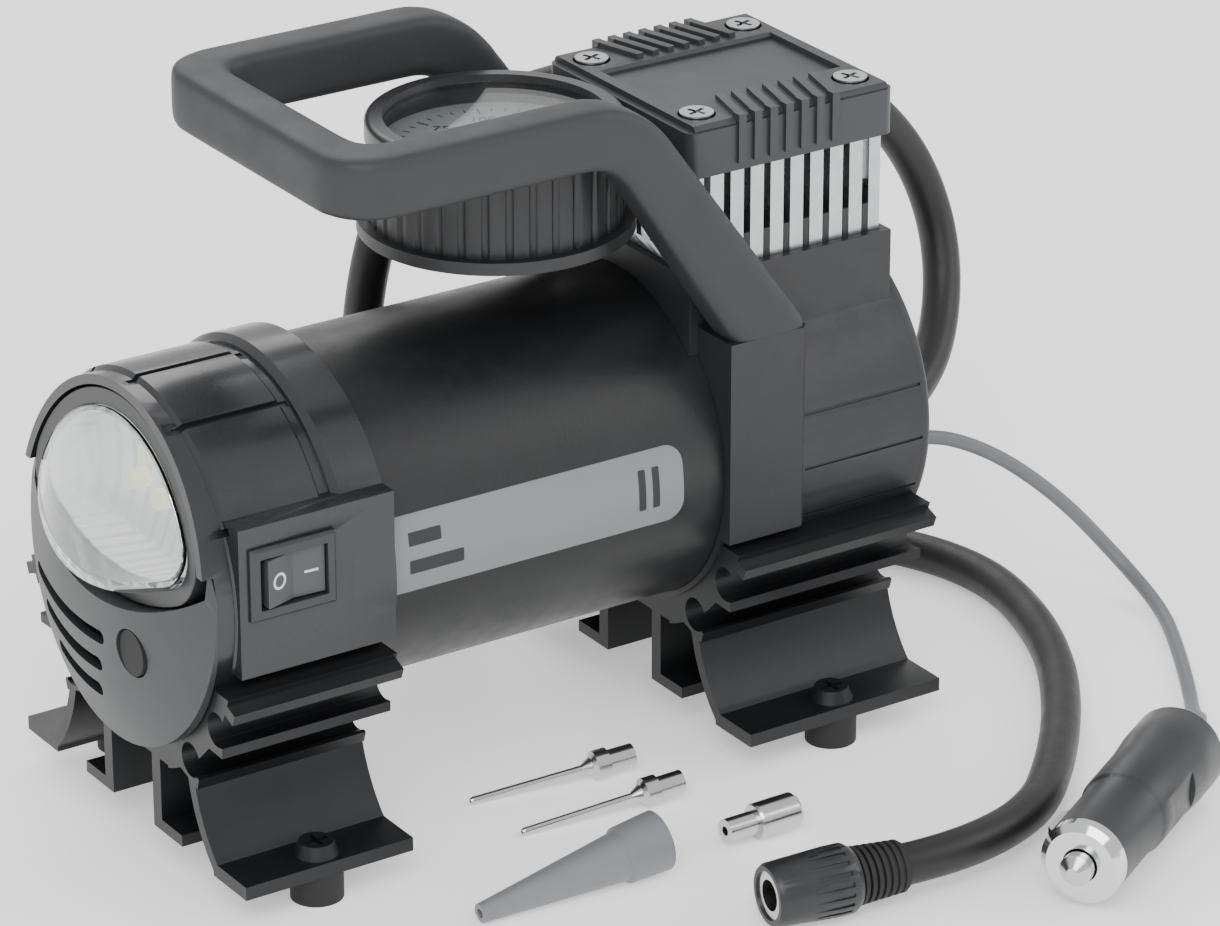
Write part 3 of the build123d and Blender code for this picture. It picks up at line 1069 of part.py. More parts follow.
with BuildPart() as plug_ground_contact:
    with BuildSketch(plug_line.offset(-PLUG_NOSE_R - 2.0)):
        with Locations((20, 0)):
            Rectangle(8, 5)
    with BuildSketch(plug_line.offset(-PLUG_NOSE_R + 0.6)):
        with Locations((20, 0)):
            Rectangle(14, 5)
    loft()
    with BuildSketch(plug_line.offset(-PLUG_NOSE_R + 0.6)):
        with Locations((20, 0)):
            Rectangle(14, 5)
    extrude(amount=1.2)
save(plug_ground_contact, "plug_ground_contact")

# ---- cord ---------------------------------------------------------------------------------------
plug_rear = plug_line.from_local_coords((PLUG_LONG, 0, 0))
plug_lead = plug_line.from_local_coords((PLUG_LONG + 16, 0, 0))
CORD_POINTS = [(GLAND_END, GLAND_Y, GLAND_Z), (136, GLAND_Y, GLAND_Z), (157, -3, 43), (176, -9, 27),
               (190, -17, 9), (189, -38, CORD_Z), (178, -58, CORD_Z), (165, -79, CORD_Z),
               (plug_lead.X + 10, plug_lead.Y + 16, 4.0), (plug_lead.X, plug_lead.Y, plug_lead.Z),
               (plug_rear.X, plug_rear.Y, plug_rear.Z)]
with BuildPart() as power_cord:
    add(tube(CORD_POINTS, CORD_R))
save(power_cord, "power_cord")

with BuildPart() as cord_gland:
    bar_x(CASE_REAR, CASE_REAR + COVER_THICK, GLAND_R - SLIP, GLAND_Y, GLAND_Z)
    bar_x(CASE_REAR - 2, CASE_REAR, GLAND_R + 1.2, GLAND_Y, GLAND_Z)
    bar_x(CASE_REAR + COVER_THICK, GLAND_END, GLAND_R + 1.2, GLAND_Y, GLAND_Z)
    for ring in range(2):
        start = CASE_REAR + COVER_THICK + 2.4 + 2.2 * ring
        bar_x(start, start + 1, GLAND_R + 3, GLAND_Y, GLAND_Z, mode=Mode.SUBTRACT)
        bar_x(start, start + 1, GLAND_R, GLAND_Y, GLAND_Z)
save(cord_gland, "cord_gland")

# ---- accessories --------------------------------------------------------------------------------
for letter, x, y, turn in (("a", -20.3, -29.0, -8.5), ("b", -18.5, -49.7, -5.7)):
    needle_line = lying(x, y, 1.3, turn, 4.5)
    with BuildPart() as ball_needle:
        turned(needle_line, [(0, 0.5), (0, 0.8), (0.6, 1.0), (30, 1.0), (32.5, 2.4), (33.4, 3.75), (37, 3.75),
                             (37, 2.9), (44, 2.9), (44, 1.2), (33, 1.2), (32, 0.5)])
    save(ball_needle, f"ball_needle_{letter}")

nozzle_line = lying(-50.4, -81.1, 2.75, -0.5, 5.7)
with BuildPart() as tapered_nozzle:
    turned(nozzle_line, [(0, 1.2), (0, 2.4), (39, 6.2), (40, 7.1), (50.6, 7.6), (50.6, CHUCK_BORE_R),
                         (40, CHUCK_BORE_R), (38, 1.2)])
save(tapered_nozzle, "tapered_nozzle")

adapter_line = lying(19.2, -81.8, 4.7, 0.3)
with BuildPart() as valve_adapter:
    turned(adapter_line, [(0, 1.2), (0, 3.0), (8.4, 3.0), (8.4, 4.2), (9, 4.6), (19.6, 4.6), (20.4, 4.0), (20.4, 3.2),
                          (12, 3.2), (11, 1.2)])
save(valve_adapter, "valve_adapter")
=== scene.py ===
"""Looks of the portable tire inflator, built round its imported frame.

Metres, +X from the lamp to the rear cover, +Z up, the near side is -Y. The origin is on the floor,
at the centre of the four rubber feet.
"""

from __future__ import annotations

import json
import logging
import math
from dataclasses import dataclass, field
from enum import Enum
from typing import Any, Sequence

import bmesh
import bpy
from mathutils import Matrix, Vector

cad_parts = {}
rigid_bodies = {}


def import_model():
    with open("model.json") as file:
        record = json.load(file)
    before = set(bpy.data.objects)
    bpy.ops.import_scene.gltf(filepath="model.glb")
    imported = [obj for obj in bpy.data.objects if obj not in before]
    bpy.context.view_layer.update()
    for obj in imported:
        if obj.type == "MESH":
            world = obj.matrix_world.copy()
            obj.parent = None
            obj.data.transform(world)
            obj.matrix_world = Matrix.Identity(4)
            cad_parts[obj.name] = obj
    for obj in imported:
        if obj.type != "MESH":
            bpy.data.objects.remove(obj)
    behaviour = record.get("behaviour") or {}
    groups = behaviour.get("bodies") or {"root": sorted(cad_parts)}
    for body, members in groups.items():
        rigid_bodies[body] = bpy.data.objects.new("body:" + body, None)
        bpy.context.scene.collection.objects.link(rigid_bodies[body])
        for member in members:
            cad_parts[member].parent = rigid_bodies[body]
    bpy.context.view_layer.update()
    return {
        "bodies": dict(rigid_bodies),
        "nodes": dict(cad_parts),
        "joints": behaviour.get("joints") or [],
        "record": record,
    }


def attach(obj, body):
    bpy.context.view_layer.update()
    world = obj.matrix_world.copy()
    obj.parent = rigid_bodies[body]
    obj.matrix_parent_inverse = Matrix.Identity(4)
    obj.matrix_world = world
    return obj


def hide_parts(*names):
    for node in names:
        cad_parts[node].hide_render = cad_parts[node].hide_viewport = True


LOG = logging.getLogger("inflator")
MM = 0.001
HOUSING = "housing"
AXIS_Z = 76.0  # motor axis over the floor
BARREL_R = 43.0
COAT_ROUGHNESS = 0.12
MERGE_M = 0.00002  # corners closer than this are one
WAVE_BANDS = math.pi / 20  # a wave texture's scale for one band per unit

Point = Sequence[float]


class Grain(Enum):
    """How the fine relief of a surface runs."""

    EVEN = (1.0, 1.0, 1.0)
    ALONG_X = (0.02, 1.0, 1.0)
    ALONG_Z = (1.0, 1.0, 0.04)


def linear(code: str, alpha: float = 1.0) -> tuple[float, float, float, float]:
    """Turn an sRGB hex colour into linear light.

    Args:
        code: six hex digits.
        alpha: opacity that goes with it.
    Returns:
        The linear red, green, blue and alpha.
    """
    out = []
    for start in (0, 2, 4):
        value = int(code[start:start + 2], 16) / 255
        out.append(value / 12.92 if value <= 0.04045 else ((value + 0.055) / 1.055) ** 2.4)
    return (out[0], out[1], out[2], alpha)


def add_node(tree: bpy.types.NodeTree, kind: str, settings: dict[str, Any] | None = None,
             inputs: dict[Any, Any] | None = None) -> bpy.types.Node:
    """Add one shader node with its settings and links.

    Args:
        tree: the material's node tree.
        kind: the node's type name.
        settings: attribute values to set on the node.
        inputs: input names or numbers, each with a value or an output socket to link.
    Returns:
        The new node.
    """
    node = tree.nodes.new(kind)
    for name, value in (settings or {}).items():
        setattr(node, name, value)
    for name, value in (inputs or {}).items():
        if isinstance(value, bpy.types.NodeSocket):
            tree.links.new(value, node.inputs[name])
        else:
            node.inputs[name].default_value = value
    return node


@dataclass(frozen=True)
class Finish:
    """One real surface finish, with its colours and its fine relief."""

    name: str
    colour: str
    roughness: float
    metallic: float = 0.0
    ior: float = 1.5
    second: str = ""  # the colour that the mottling drifts to
    mottle_mm: float = 6.0
    grain_mm: float = 0.0
    grain_depth_mm: float = 0.0
    grain: Grain = Grain.EVEN
    rough_drift: float = 0.05
    coat: float = 0.0
    clear: float = 0.0
    glow: float = 0.0
    ribs_mm: float = 0.0
    rib_depth_mm: float = 0.0
    rib_axis: str = "Y"

    def material(self) -> bpy.types.Material:
        """Build the finish as a material.

        Returns:
            The material, or the one already built under its name.
        """
        known = bpy.data.materials.get(self.name)
        if known:
            return known
        made = bpy.data.materials.new(self.name)
        made.use_nodes = True
        tree = made.node_tree
        tree.nodes.clear()
        shader = add_node(tree, "ShaderNodeBsdfPrincipled", inputs={
            "Base Color": linear(self.colour), "Roughness": self.roughness, "Metallic": self.metallic})
        if not self.metallic:
            shader.inputs["IOR"].default_value = self.ior
        shader.inputs["Coat Weight"].default_value = self.coat
        shader.inputs["Coat Roughness"].default_value = COAT_ROUGHNESS
        shader.inputs["Transmission Weight"].default_value = self.clear
        if self.glow:
            shader.inputs["Emission Color"].default_value = linear(self.colour)
            shader.inputs["Emission Strength"].default_value = self.glow
        add_node(tree, "ShaderNodeOutputMaterial", inputs={"Surface": shader.outputs["BSDF"]})
        place = add_node(tree, "ShaderNodeTexCoord").outputs["Object"]
        if self.second:
            self._mottle(tree, place, shader)
        self._relief(tree, place, shader)
        return made

    def _mottle(self, tree: bpy.types.NodeTree, place: bpy.types.NodeSocket, shader: bpy.types.Node) -> None:
        """Drift the colour and the gloss slowly over the surface.

        Args:
            tree: the material's node tree.
            place: the coordinates that the pattern reads.
            shader: the surface shader.
        """
        cloud = add_node(tree, "ShaderNodeTexNoise", inputs={
            "Vector": place, "Scale": 1000 / self.mottle_mm, "Detail": 4.0, "Roughness": 0.6})
        blend = add_node(tree, "ShaderNodeMix", {"data_type": "RGBA"}, {
            0: cloud.outputs["Fac"], 6: linear(self.colour), 7: linear(self.second)})
        tree.links.new(blend.outputs[2], shader.inputs["Base Color"])
        gloss = add_node(tree, "ShaderNodeMapRange", inputs={
            "Value": cloud.outputs["Fac"], "From Min": 0.3, "From Max": 0.7,
            "To Min": self.roughness - self.rough_drift, "To Max": self.roughness + self.rough_drift})
        tree.links.new(gloss.outputs["Result"], shader.inputs["Roughness"])

    def _relief(self, tree: bpy.types.NodeTree, place: bpy.types.NodeSocket, shader: bpy.types.Node) -> None:
        """Add the fine grain and, where the finish has them, the ribs.

        Args:
            tree: the material's node tree.
            place: the coordinates that the pattern reads.
            shader: the surface shader.
        """
        normal = None
        if self.grain_mm:
            stretched = add_node(tree, "ShaderNodeMapping", inputs={"Vector": place, "Scale": self.grain.value})
            grit = add_node(tree, "ShaderNodeTexNoise", inputs={
                "Vector": stretched.outputs["Vector"], "Scale": 1000 / self.grain_mm, "Detail": 2.0})
            bump = add_node(tree, "ShaderNodeBump", inputs={
                "Strength": 1.0, "Distance": self.grain_depth_mm * MM, "Height": grit.outputs["Fac"]})
            normal = bump.outputs["Normal"]
        if self.ribs_mm:
            ribs = add_node(tree, "ShaderNodeTexWave", {"bands_direction": self.rib_axis}, {
                "Vector": place, "Scale": WAVE_BANDS * 1000 / self.ribs_mm})
            inputs = {"Strength": 1.0, "Distance": self.rib_depth_mm * MM, "Height": ribs.outputs["Fac"]}
            if normal is not None:
                inputs["Normal"] = normal
            normal = add_node(tree, "ShaderNodeBump", inputs=inputs).outputs["Normal"]
        if normal is not None:
            tree.links.new(normal, shader.inputs["Normal"])


# Powder coat hides the tube's seam: an even, slightly dimpled black with a soft broad highlight.
POWDER_COAT = Finish("powder_coated_steel_tube", "17181a", 0.4, second="1b1c1e", grain_mm=0.9, grain_depth_mm=0.03)
# Polished mould, dark ABS: the highlight is sharp and the body nearly black.
GLOSS_ABS = Finish("polished_abs_charcoal", "1f2023", 0.27, ior=1.54, second="25262a", mottle_mm=20, grain_mm=2.5,
                   grain_depth_mm=0.01, coat=0.15)
# Satin mould, mid-grey ABS.
SATIN_ABS = Finish("satin_abs_grey", "2e3033", 0.42, ior=1.54, second="333538", mottle_mm=25, grain_mm=0.8,
                   grain_depth_mm=0.012)
BLACK_ABS = Finish("moulded_abs_black", "2a2b2e", 0.36, ior=1.54, grain_mm=0.8, grain_depth_mm=0.01)
# Spark-eroded mould: a fine even grit. The real 0.2 mm grit is drawn at 0.6 mm so that it shows.
TEXTURED_ABS = Finish("textured_abs_dark_grey", "1b1c1f", 0.48, ior=1.54, second="1f2023", grain_mm=0.6,
                      grain_depth_mm=0.03)
GLASS_NYLON = Finish("glass_filled_nylon_charcoal", "27292c", 0.55, second="2c2e31", mottle_mm=12, grain_mm=0.7,
                     grain_depth_mm=0.03)
HEAD_NYLON = Finish("glass_filled_nylon_head", "2e3034", 0.44, second="35373b", mottle_mm=12, grain_mm=0.7,
                    grain_depth_mm=0.02)
CAST_ALUMINIUM = Finish("machined_cast_aluminium", "c9cacc", 0.3, metallic=1.0, second="b4b6b9", mottle_mm=4,
                        grain_mm=0.5, grain_depth_mm=0.012, grain=Grain.ALONG_X)
# Die lines run along an extrusion under the anodising: the highlight is streaked along X.
ANODISED = Finish("black_anodised_aluminium_extrusion", "1b1c1e", 0.38, metallic=0.3, second="202124", mottle_mm=14,
                  grain_mm=0.7, grain_depth_mm=0.016, grain=Grain.ALONG_X)
POLYCARBONATE = Finish("clear_polycarbonate", "f4f7f8", 0.03, ior=1.585, clear=1.0)
# The reflector is no lamp: its glow is a painted reflection. It stands in for the pale room that the metallised ribs
# would mirror.
METALLISED = Finish("metallised_ribbed_reflector_painted_glow", "fbfcfd", 0.2, metallic=0.3, ribs_mm=2.2, rib_depth_mm=0.6,
                    glow=0.22)
DIODE = Finish("clear_epoxy_diode", "fbf6dd", 0.1, ior=1.5, glow=0.6)
SOLDER_MASK = Finish("solder_mask_laminate", "1f5a34", 0.4)
KEY_NYLON = Finish("moulded_nylon_key", "45474b", 0.38, grain_mm=0.8, grain_depth_mm=0.01)
PRINT_WHITE = Finish("pad_printed_white_ink", "d9dadb", 0.5)
PRINT_DARK = Finish("pad_printed_dark_ink", "222326", 0.5)
PRINT_GREY = Finish("silver_grey_label_film", "77797d", 0.38, second="7f8286", mottle_mm=18)
DIAL_PAPER = Finish("printed_dial_plate", "c3c6c9", 0.55)
POINTER_RED = Finish("enamelled_pointer_red", "b03224", 0.4)
NICKEL = Finish("nickel_plated_brass", "cfcfd0", 0.2, metallic=1.0, second="c2c2c4", grain_mm=1.2,
                grain_depth_mm=0.008)
CHROME = Finish("chrome_plated_steel", "dcdddf", 0.12, metallic=1.0)
BRASS = Finish("turned_brass", "c1a062", 0.3, metallic=1.0, second="b4934f")
STEEL = Finish("ground_steel", "a9abad", 0.32, metallic=1.0, second="9c9ea0", grain_mm=0.8, grain_depth_mm=0.01)
CORE_STEEL = Finish("laminated_core_steel", "85888b", 0.45, metallic=1.0, grain_mm=0.5, grain_depth_mm=0.03,
                    grain=Grain.ALONG_Z)
BLACK_OXIDE = Finish("black_oxide_steel", "2b2c2f", 0.4, metallic=0.6)
ZINC = Finish("zinc_plated_sheet", "a3a6a8", 0.4, metallic=1.0, second="979a9c")
COPPER = Finish("varnished_copper", "b06e3c", 0.35, metallic=1.0)
FERRITE = Finish("sintered_ferrite", "47494d", 0.6)
CARBON = Finish("pressed_carbon", "2a2a2b", 0.6)
NATURAL_NYLON = Finish("natural_nylon", "d2cfc6", 0.45)
FIBRE = Finish("pressed_fibre_gasket", "6a6258", 0.8)
FOOT_RUBBER = Finish("moulded_black_rubber", "1a1a1b", 0.7, grain_mm=0.6, grain_depth_mm=0.02)
HOSE_RUBBER = Finish("extruded_rubber_hose", "131314", 0.46, second="171719", mottle_mm=8, grain_mm=0.9,
                     grain_depth_mm=0.05)
CORD_PVC = Finish("grey_pvc_cord", "66696d", 0.45, second="6d7074", grain_mm=1.0, grain_depth_mm=0.02)
PLUG_PLASTIC = Finish("moulded_phenolic_dark_grey", "222326", 0.38, second="27292c", mottle_mm=9, grain_mm=0.8,
                      grain_depth_mm=0.02)
NOZZLE_PLASTIC = Finish("moulded_polyamide_grey", "74777b", 0.42, second="7b7e82", grain_mm=0.8,
                        grain_depth_mm=0.015)

NODE_FINISHES: dict[str, Finish] = {
    "motor_barrel": POWDER_COAT, "front_cap": GLOSS_ABS, "front_grille": SATIN_ABS, "lamp_bezel": BLACK_ABS,
    "lamp_lens": POLYCARBONATE, "lamp_reflector": METALLISED, "lamp_leds": DIODE, "lamp_boards": SOLDER_MASK,
    "switch_frame": BLACK_ABS, "rocker_key": KEY_NYLON, "lamp_button": FOOT_RUBBER, "rear_casing": TEXTURED_ABS,
    "rear_cover": TEXTURED_ABS, "cylinder_block": CAST_ALUMINIUM, "cylinder_head": CAST_ALUMINIUM,
    "head_cover": HEAD_NYLON, "head_screws": CHROME, "valve_plate": STEEL, "head_gasket": FIBRE,
    "gauge_housing": TEXTURED_ABS, "gauge_bezel": BLACK_ABS, "gauge_lens": POLYCARBONATE, "gauge_dial": DIAL_PAPER,
    "gauge_needle": POINTER_RED, "gauge_movement": NICKEL, "handle": GLASS_NYLON, "front_foot_bracket": ANODISED,
    "rear_foot_bracket": ANODISED, "casing_screws": BLACK_OXIDE, "rubber_feet": FOOT_RUBBER,
    "hose_outlet_fitting": BRASS, "air_hose": HOSE_RUBBER, "hose_strain_relief": FOOT_RUBBER, "chuck_stem": BRASS,
    "chuck_sleeve": PLUG_PLASTIC, "chuck_thread_insert": NICKEL, "cord_gland": FOOT_RUBBER, "power_cord": CORD_PVC,
    "plug_shell": PLUG_PLASTIC, "plug_nose_ring": CHROME, "plug_tip": NICKEL, "plug_ground_contact": NICKEL,
    "plug_fuse": STEEL, "motor_shaft": STEEL, "armature": CORE_STEEL, "commutator": COPPER, "motor_magnets": FERRITE,
    "motor_end_frames": ZINC, "shaft_bushes": BRASS, "motor_brushes": CARBON, "cooling_fan": NATURAL_NYLON,
    "pinion": STEEL, "crank_shaft": STEEL, "gear_frame": ZINC, "connecting_rod": CAST_ALUMINIUM,
    "piston_cup": FOOT_RUBBER, "ball_needle_a": NICKEL, "ball_needle_b": NICKEL, "tapered_nozzle": NOZZLE_PLASTIC,
    "valve_adapter": NICKEL,
}


def new_piece(name: str, mesh: bmesh.types.BMesh, finish: Finish, body: str,
              smooth_deg: float = 32.0) -> bpy.types.Object:
    """Turn a finished bmesh into a piece that rides on a body.

    Args:
        name: the piece's name.
        mesh: its shape in metres, in the frame. It is freed here.
        finish: its surface.
        body: the body that it moves with.
        smooth_deg: edges sharper than this stay crisp.
    Returns:
        The new object, at the origin.
    """
    data = bpy.data.meshes.new(name)
    mesh.to_mesh(data)
    mesh.free()
    data.shade_smooth()
    data.set_sharp_from_angle(angle=math.radians(smooth_deg))
    data.materials.append(finish.material())
    piece = bpy.data.objects.new(name, data)
    bpy.context.scene.collection.objects.link(piece)
    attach(piece, body)
    return piece


@dataclass
class Softener:
    """Gives visible mouldings and castings the small edge radii that the plain frame leaves out."""

    frame: dict[str, Any]
    widths: dict[str, tuple[float, int]] = field(default_factory=lambda: {
        "front_cap": (0.6, 3), "front_grille": (0.5, 2), "rear_casing": (0.7, 3), "rear_cover": (0.4, 2),
        "head_cover": (0.7, 3), "front_foot_bracket": (0.5, 2), "rear_foot_bracket": (0.5, 2),
        "switch_frame": (0.35, 2), "rocker_key": (0.6, 3), "gauge_housing": (0.3, 2), "cylinder_block": (0.25, 2),
        "plug_shell": (0.6, 3), "chuck_sleeve": (0.25, 2), "hose_strain_relief": (0.25, 2), "lamp_bezel": (0.3, 2),
    })

    def build(self, bodies: dict[str, str], slots: dict[str, str]) -> dict[str, bpy.types.Object]:
        """Replace each listed node by a copy with rounded edges.

        Args:
            bodies: the body of each node.
            slots: the material slot of each node; not used.
        Returns:
            The new piece of each node.
        """
        made = {}
        for node, (width, segments) in self.widths.items():
            shape = bmesh.new()
            shape.from_mesh(self.frame["nodes"][node].data)
            bmesh.ops.remove_doubles(shape, verts=shape.verts, dist=MERGE_M)
            bmesh.ops.dissolve_limit(shape, angle_limit=math.radians(1.0), verts=shape.verts, edges=shape.edges)
            piece = new_piece(f"{node}_finished", shape, NODE_FINISHES[node], bodies[node])
            rounding = piece.modifiers.new("edge_radius", "BEVEL")
            rounding.width = width * MM
            rounding.segments = segments
            rounding.limit_method = "ANGLE"
            rounding.angle_limit = math.radians(38)
            rounding.harden_normals = True
            rounding.miter_outer = "MITER_ARC"
            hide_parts(node)
            made[node] = piece
        return made


@dataclass
class Grip:
    """The carry handle, moulded round for the hand."""

    frame: dict[str, Any]
    base_z: float = 113.0
    sink: float = 5.0
    skin_mm: float = 1.1
    passes: int = 34

    def build(self, body: str, slot: str) -> bpy.types.Object:
        """Replace the plain handle by one with well rounded edges.

        Args:
            body: the body that it rides on.
            slot: its material slot; not used.
        Returns:
            The rounded handle.
        """
        shape = bmesh.new()
        shape.from_mesh(self.frame["nodes"]["handle"].data)
        bmesh.ops.remove_doubles(shape, verts=shape.verts, dist=MERGE_M)
        feet = [vert for vert in shape.verts if vert.co.z < (self.base_z + 0.05) * MM]
        bmesh.ops.translate(shape, verts=feet, vec=(0, 0, -self.sink * MM))
        piece = new_piece("handle_finished", shape, GLASS_NYLON, body, smooth_deg=180)
        skin = piece.modifiers.new("one_skin", "REMESH")
        skin.mode = "VOXEL"
        skin.voxel_size = self.skin_mm * MM
        skin.use_smooth_shade = True
        rounding = piece.modifiers.new("round_edges", "SMOOTH")
        rounding.factor = 0.5
        rounding.iterations = self.passes
        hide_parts("handle")
        return piece


@dataclass
class FreeLine:
    """A free cord or hose along its own route."""

    name: str
    node: str
    slot: str
    finish: Finish
    route_mm: list[Point]
    width_mm: float
    thick_mm: float
    far_end: str
    stiffness: str
    with_nodes: list[str]

    def build(self, pieces: dict[str, bpy.types.Object]) -> bpy.types.Object:
        """Args:
            pieces: the visible piece of each node; not used.
        Returns:
            The curve.
        """
        curve = bpy.data.curves.new(self.name, "CURVE")
        curve.dimensions = "3D"
        curve.bevel_depth = self.thick_mm / 2 * MM
        curve.extrude = (self.width_mm - self.thick_mm) / 2 * MM
        curve.bevel_resolution = 6
        curve.use_fill_caps = True
        spline = curve.splines.new("NURBS")
        spline.points.add(len(self.route_mm) - 1)
        for place, point in zip(spline.points, self.route_mm):
            place.co = (point[0] * MM, point[1] * MM, point[2] * MM, 1.0)
        spline.order_u = 3
        spline.use_endpoint_u = True
        spline.resolution_u = 14
        curve.materials.append(self.finish.material())
        line = bpy.data.objects.new(self.name, curve)
        bpy.context.scene.collection.objects.link(line)
        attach(line, HOUSING)
        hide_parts(self.node)
        return line


AIR_HOSE = FreeLine(
    "air_hose_line", "air_hose", "hose_rubber", HOSE_RUBBER,
    [(112, 20, 46), (138, 20, 46), (163, 29, 54), (179, 47, 79), (171, 55, 109), (142, 54, 134), (102, 54, 145),
     (56, 54, 148), (15, 54, 140), (1, 55, 104), (3, 59, 56), (28, 67, 5.15), (82, 68, 5.15), (134, 52, 5.15),
     (162, 8, 5.15), (150, -42, 5.15), (118, -88, 5.15), (73.42, -130.19, 8.8), (39.75, -125.45, 8.8)],
    10.2, 10.2, "fitting", "medium",
    ["hose_strain_relief", "chuck_stem", "chuck_sleeve", "chuck_thread_insert"])
POWER_CORD = FreeLine(
    "power_cord_line", "power_cord", "cord_vinyl", CORD_PVC,
    [(114, 0, 52), (136, 0, 52), (157, -3, 43), (176, -9, 27), (190, -17, 9), (189, -38, 1.95), (178, -58, 1.95),
     (165, -79, 1.95), (153.43, -94.88, 4.0), (143.43, -110.88, 12.6), (129.7, -119.1, 12.6)],
    3.8, 3.0, "plug", "medium",
    ["plug_shell", "plug_nose_ring", "plug_tip", "plug_ground_contact", "plug_fuse"])


def add_bar(mesh: bmesh.types.BMesh, centre_mm: Point, size_mm: Point, turn: Matrix | None = None) -> None:
    """Add a rectangular bar to a mesh.

    Args:
        mesh: the mesh that grows.
        centre_mm: the bar's centre, before the turn.
        size_mm: its size along X, Y and Z.
        turn: a matrix in millimetres that the bar goes through last.
    """
    place = Matrix.Translation(Vector(centre_mm)) @ Matrix.Diagonal((*size_mm, 1.0))
    whole = Matrix.Scale(MM, 4) @ (turn or Matrix.Identity(4)) @ place
    bmesh.ops.create_cube(mesh, size=1.0, matrix=whole)


def add_ring(mesh: bmesh.types.BMesh, section_mm: Sequence[tuple[float, float]], place: Matrix,
             steps: int = 64) -> None:
    """Spin a closed section about Z to make a ring.

    Args:
        mesh: the mesh that grows.
        section_mm: (radius, height) corners in order round the section.
        place: where the ring goes, in millimetres.
        steps: how many faces go round it.
    """
    corners = [mesh.verts.new((radius, 0.0, height)) for radius, height in section_mm]
    edges = [mesh.edges.new((a, b)) for a, b in zip(corners, corners[1:] + corners[:1])]
    spun = bmesh.ops.spin(mesh, geom=corners + edges, cent=(0, 0, 0), axis=(0, 0, 1), angle=2 * math.pi,
                          steps=steps, use_merge=True)
    verts = {item for item in spun["geom_last"] if isinstance(item, bmesh.types.BMVert)}
    grown = set(verts)
    stack = list(verts) + corners
    while stack:
        vert = stack.pop()
        for edge in vert.link_edges:
            other = edge.other_vert(vert)
            if other not in grown:
                grown.add(other)
                stack.append(other)
    ring = [vert for vert in grown if vert.is_valid]
    bmesh.ops.transform(mesh, matrix=Matrix.Scale(MM, 4) @ place, verts=ring)
    bmesh.ops.recalc_face_normals(mesh, faces=mesh.faces)


@dataclass
class Studio:
    """Pale floor, soft lights and the camera."""

    target: Point = (0.040, 0.0, 0.06654)
    azimuth_deg: float = -33.5
    elevation_deg: float = 24.0
    distance: float = 1.4
    sensor_mm: float = 36.0
    lens_mm: float = 36.0 * 5600.0 / 1220.0
    room_light: float = 0.95
    panels: tuple[tuple[str, Point, float, float], ...] = (
        ("key_panel", (-0.7, -0.9, 1.1), 0.9, 13.0), ("fill_panel", (1.1, -0.7, 0.7), 0.8, 5.0),
        ("back_panel", (0.3, 1.2, 1.2), 1.0, 9.0))

    def build_camera(self) -> None:
        """Place the camera and make it the scene's own."""
        turn, rise = math.radians(self.azimuth_deg), math.radians(self.elevation_deg)
        back = Vector((math.sin(turn) * math.cos(rise), -math.cos(turn) * math.cos(rise), math.sin(rise)))
        data = bpy.data.cameras.new("camera")
        data.lens = self.lens_mm
        data.sensor_width = self.sensor_mm
        data.clip_end = 50.0
        camera = bpy.data.objects.new("camera", data)
        camera.location = Vector(self.target) + back * self.distance
        camera.rotation_euler = back.to_track_quat("Z", "Y").to_euler()
        bpy.context.scene.collection.objects.link(camera)
        bpy.context.scene.camera = camera

    def build_light(self) -> None:
        """Hang three soft panels in a pale room."""
        world = bpy.data.worlds.new("pale_room")
        world.use_nodes = True
        sky = world.node_tree.nodes["Background"]
        sky.inputs["Color"].default_value = (1.0, 1.0, 1.0, 1.0)
        sky.inputs["Strength"].default_value = self.room_light
        bpy.context.scene.world = world
        for name, place, size, power in self.panels:
            data = bpy.data.lights.new(name, "AREA")
            data.shape = "SQUARE"
            data.size = size
            data.energy = power
            lamp = bpy.data.objects.new(name, data)
            lamp.location = place
            lamp.rotation_euler = (Vector(place) - Vector(self.target)).to_track_quat("Z", "Y").to_euler()
            bpy.context.scene.collection.objects.link(lamp)

    def build_floor(self) -> None:
        """Lay the pale floor."""
        mesh = bmesh.new()
        bmesh.ops.create_grid(mesh, x_segments=1, y_segments=1, size=6.0)
        data = bpy.data.meshes.new("studio_floor")
        mesh.to_mesh(data)
        mesh.free()
        data.materials.append(Finish("matt_white_paper", "f6f6f5", 0.9, glow=0.55).material())
        floor = bpy.data.objects.new("studio_floor", data)
        bpy.context.scene.collection.objects.link(floor)


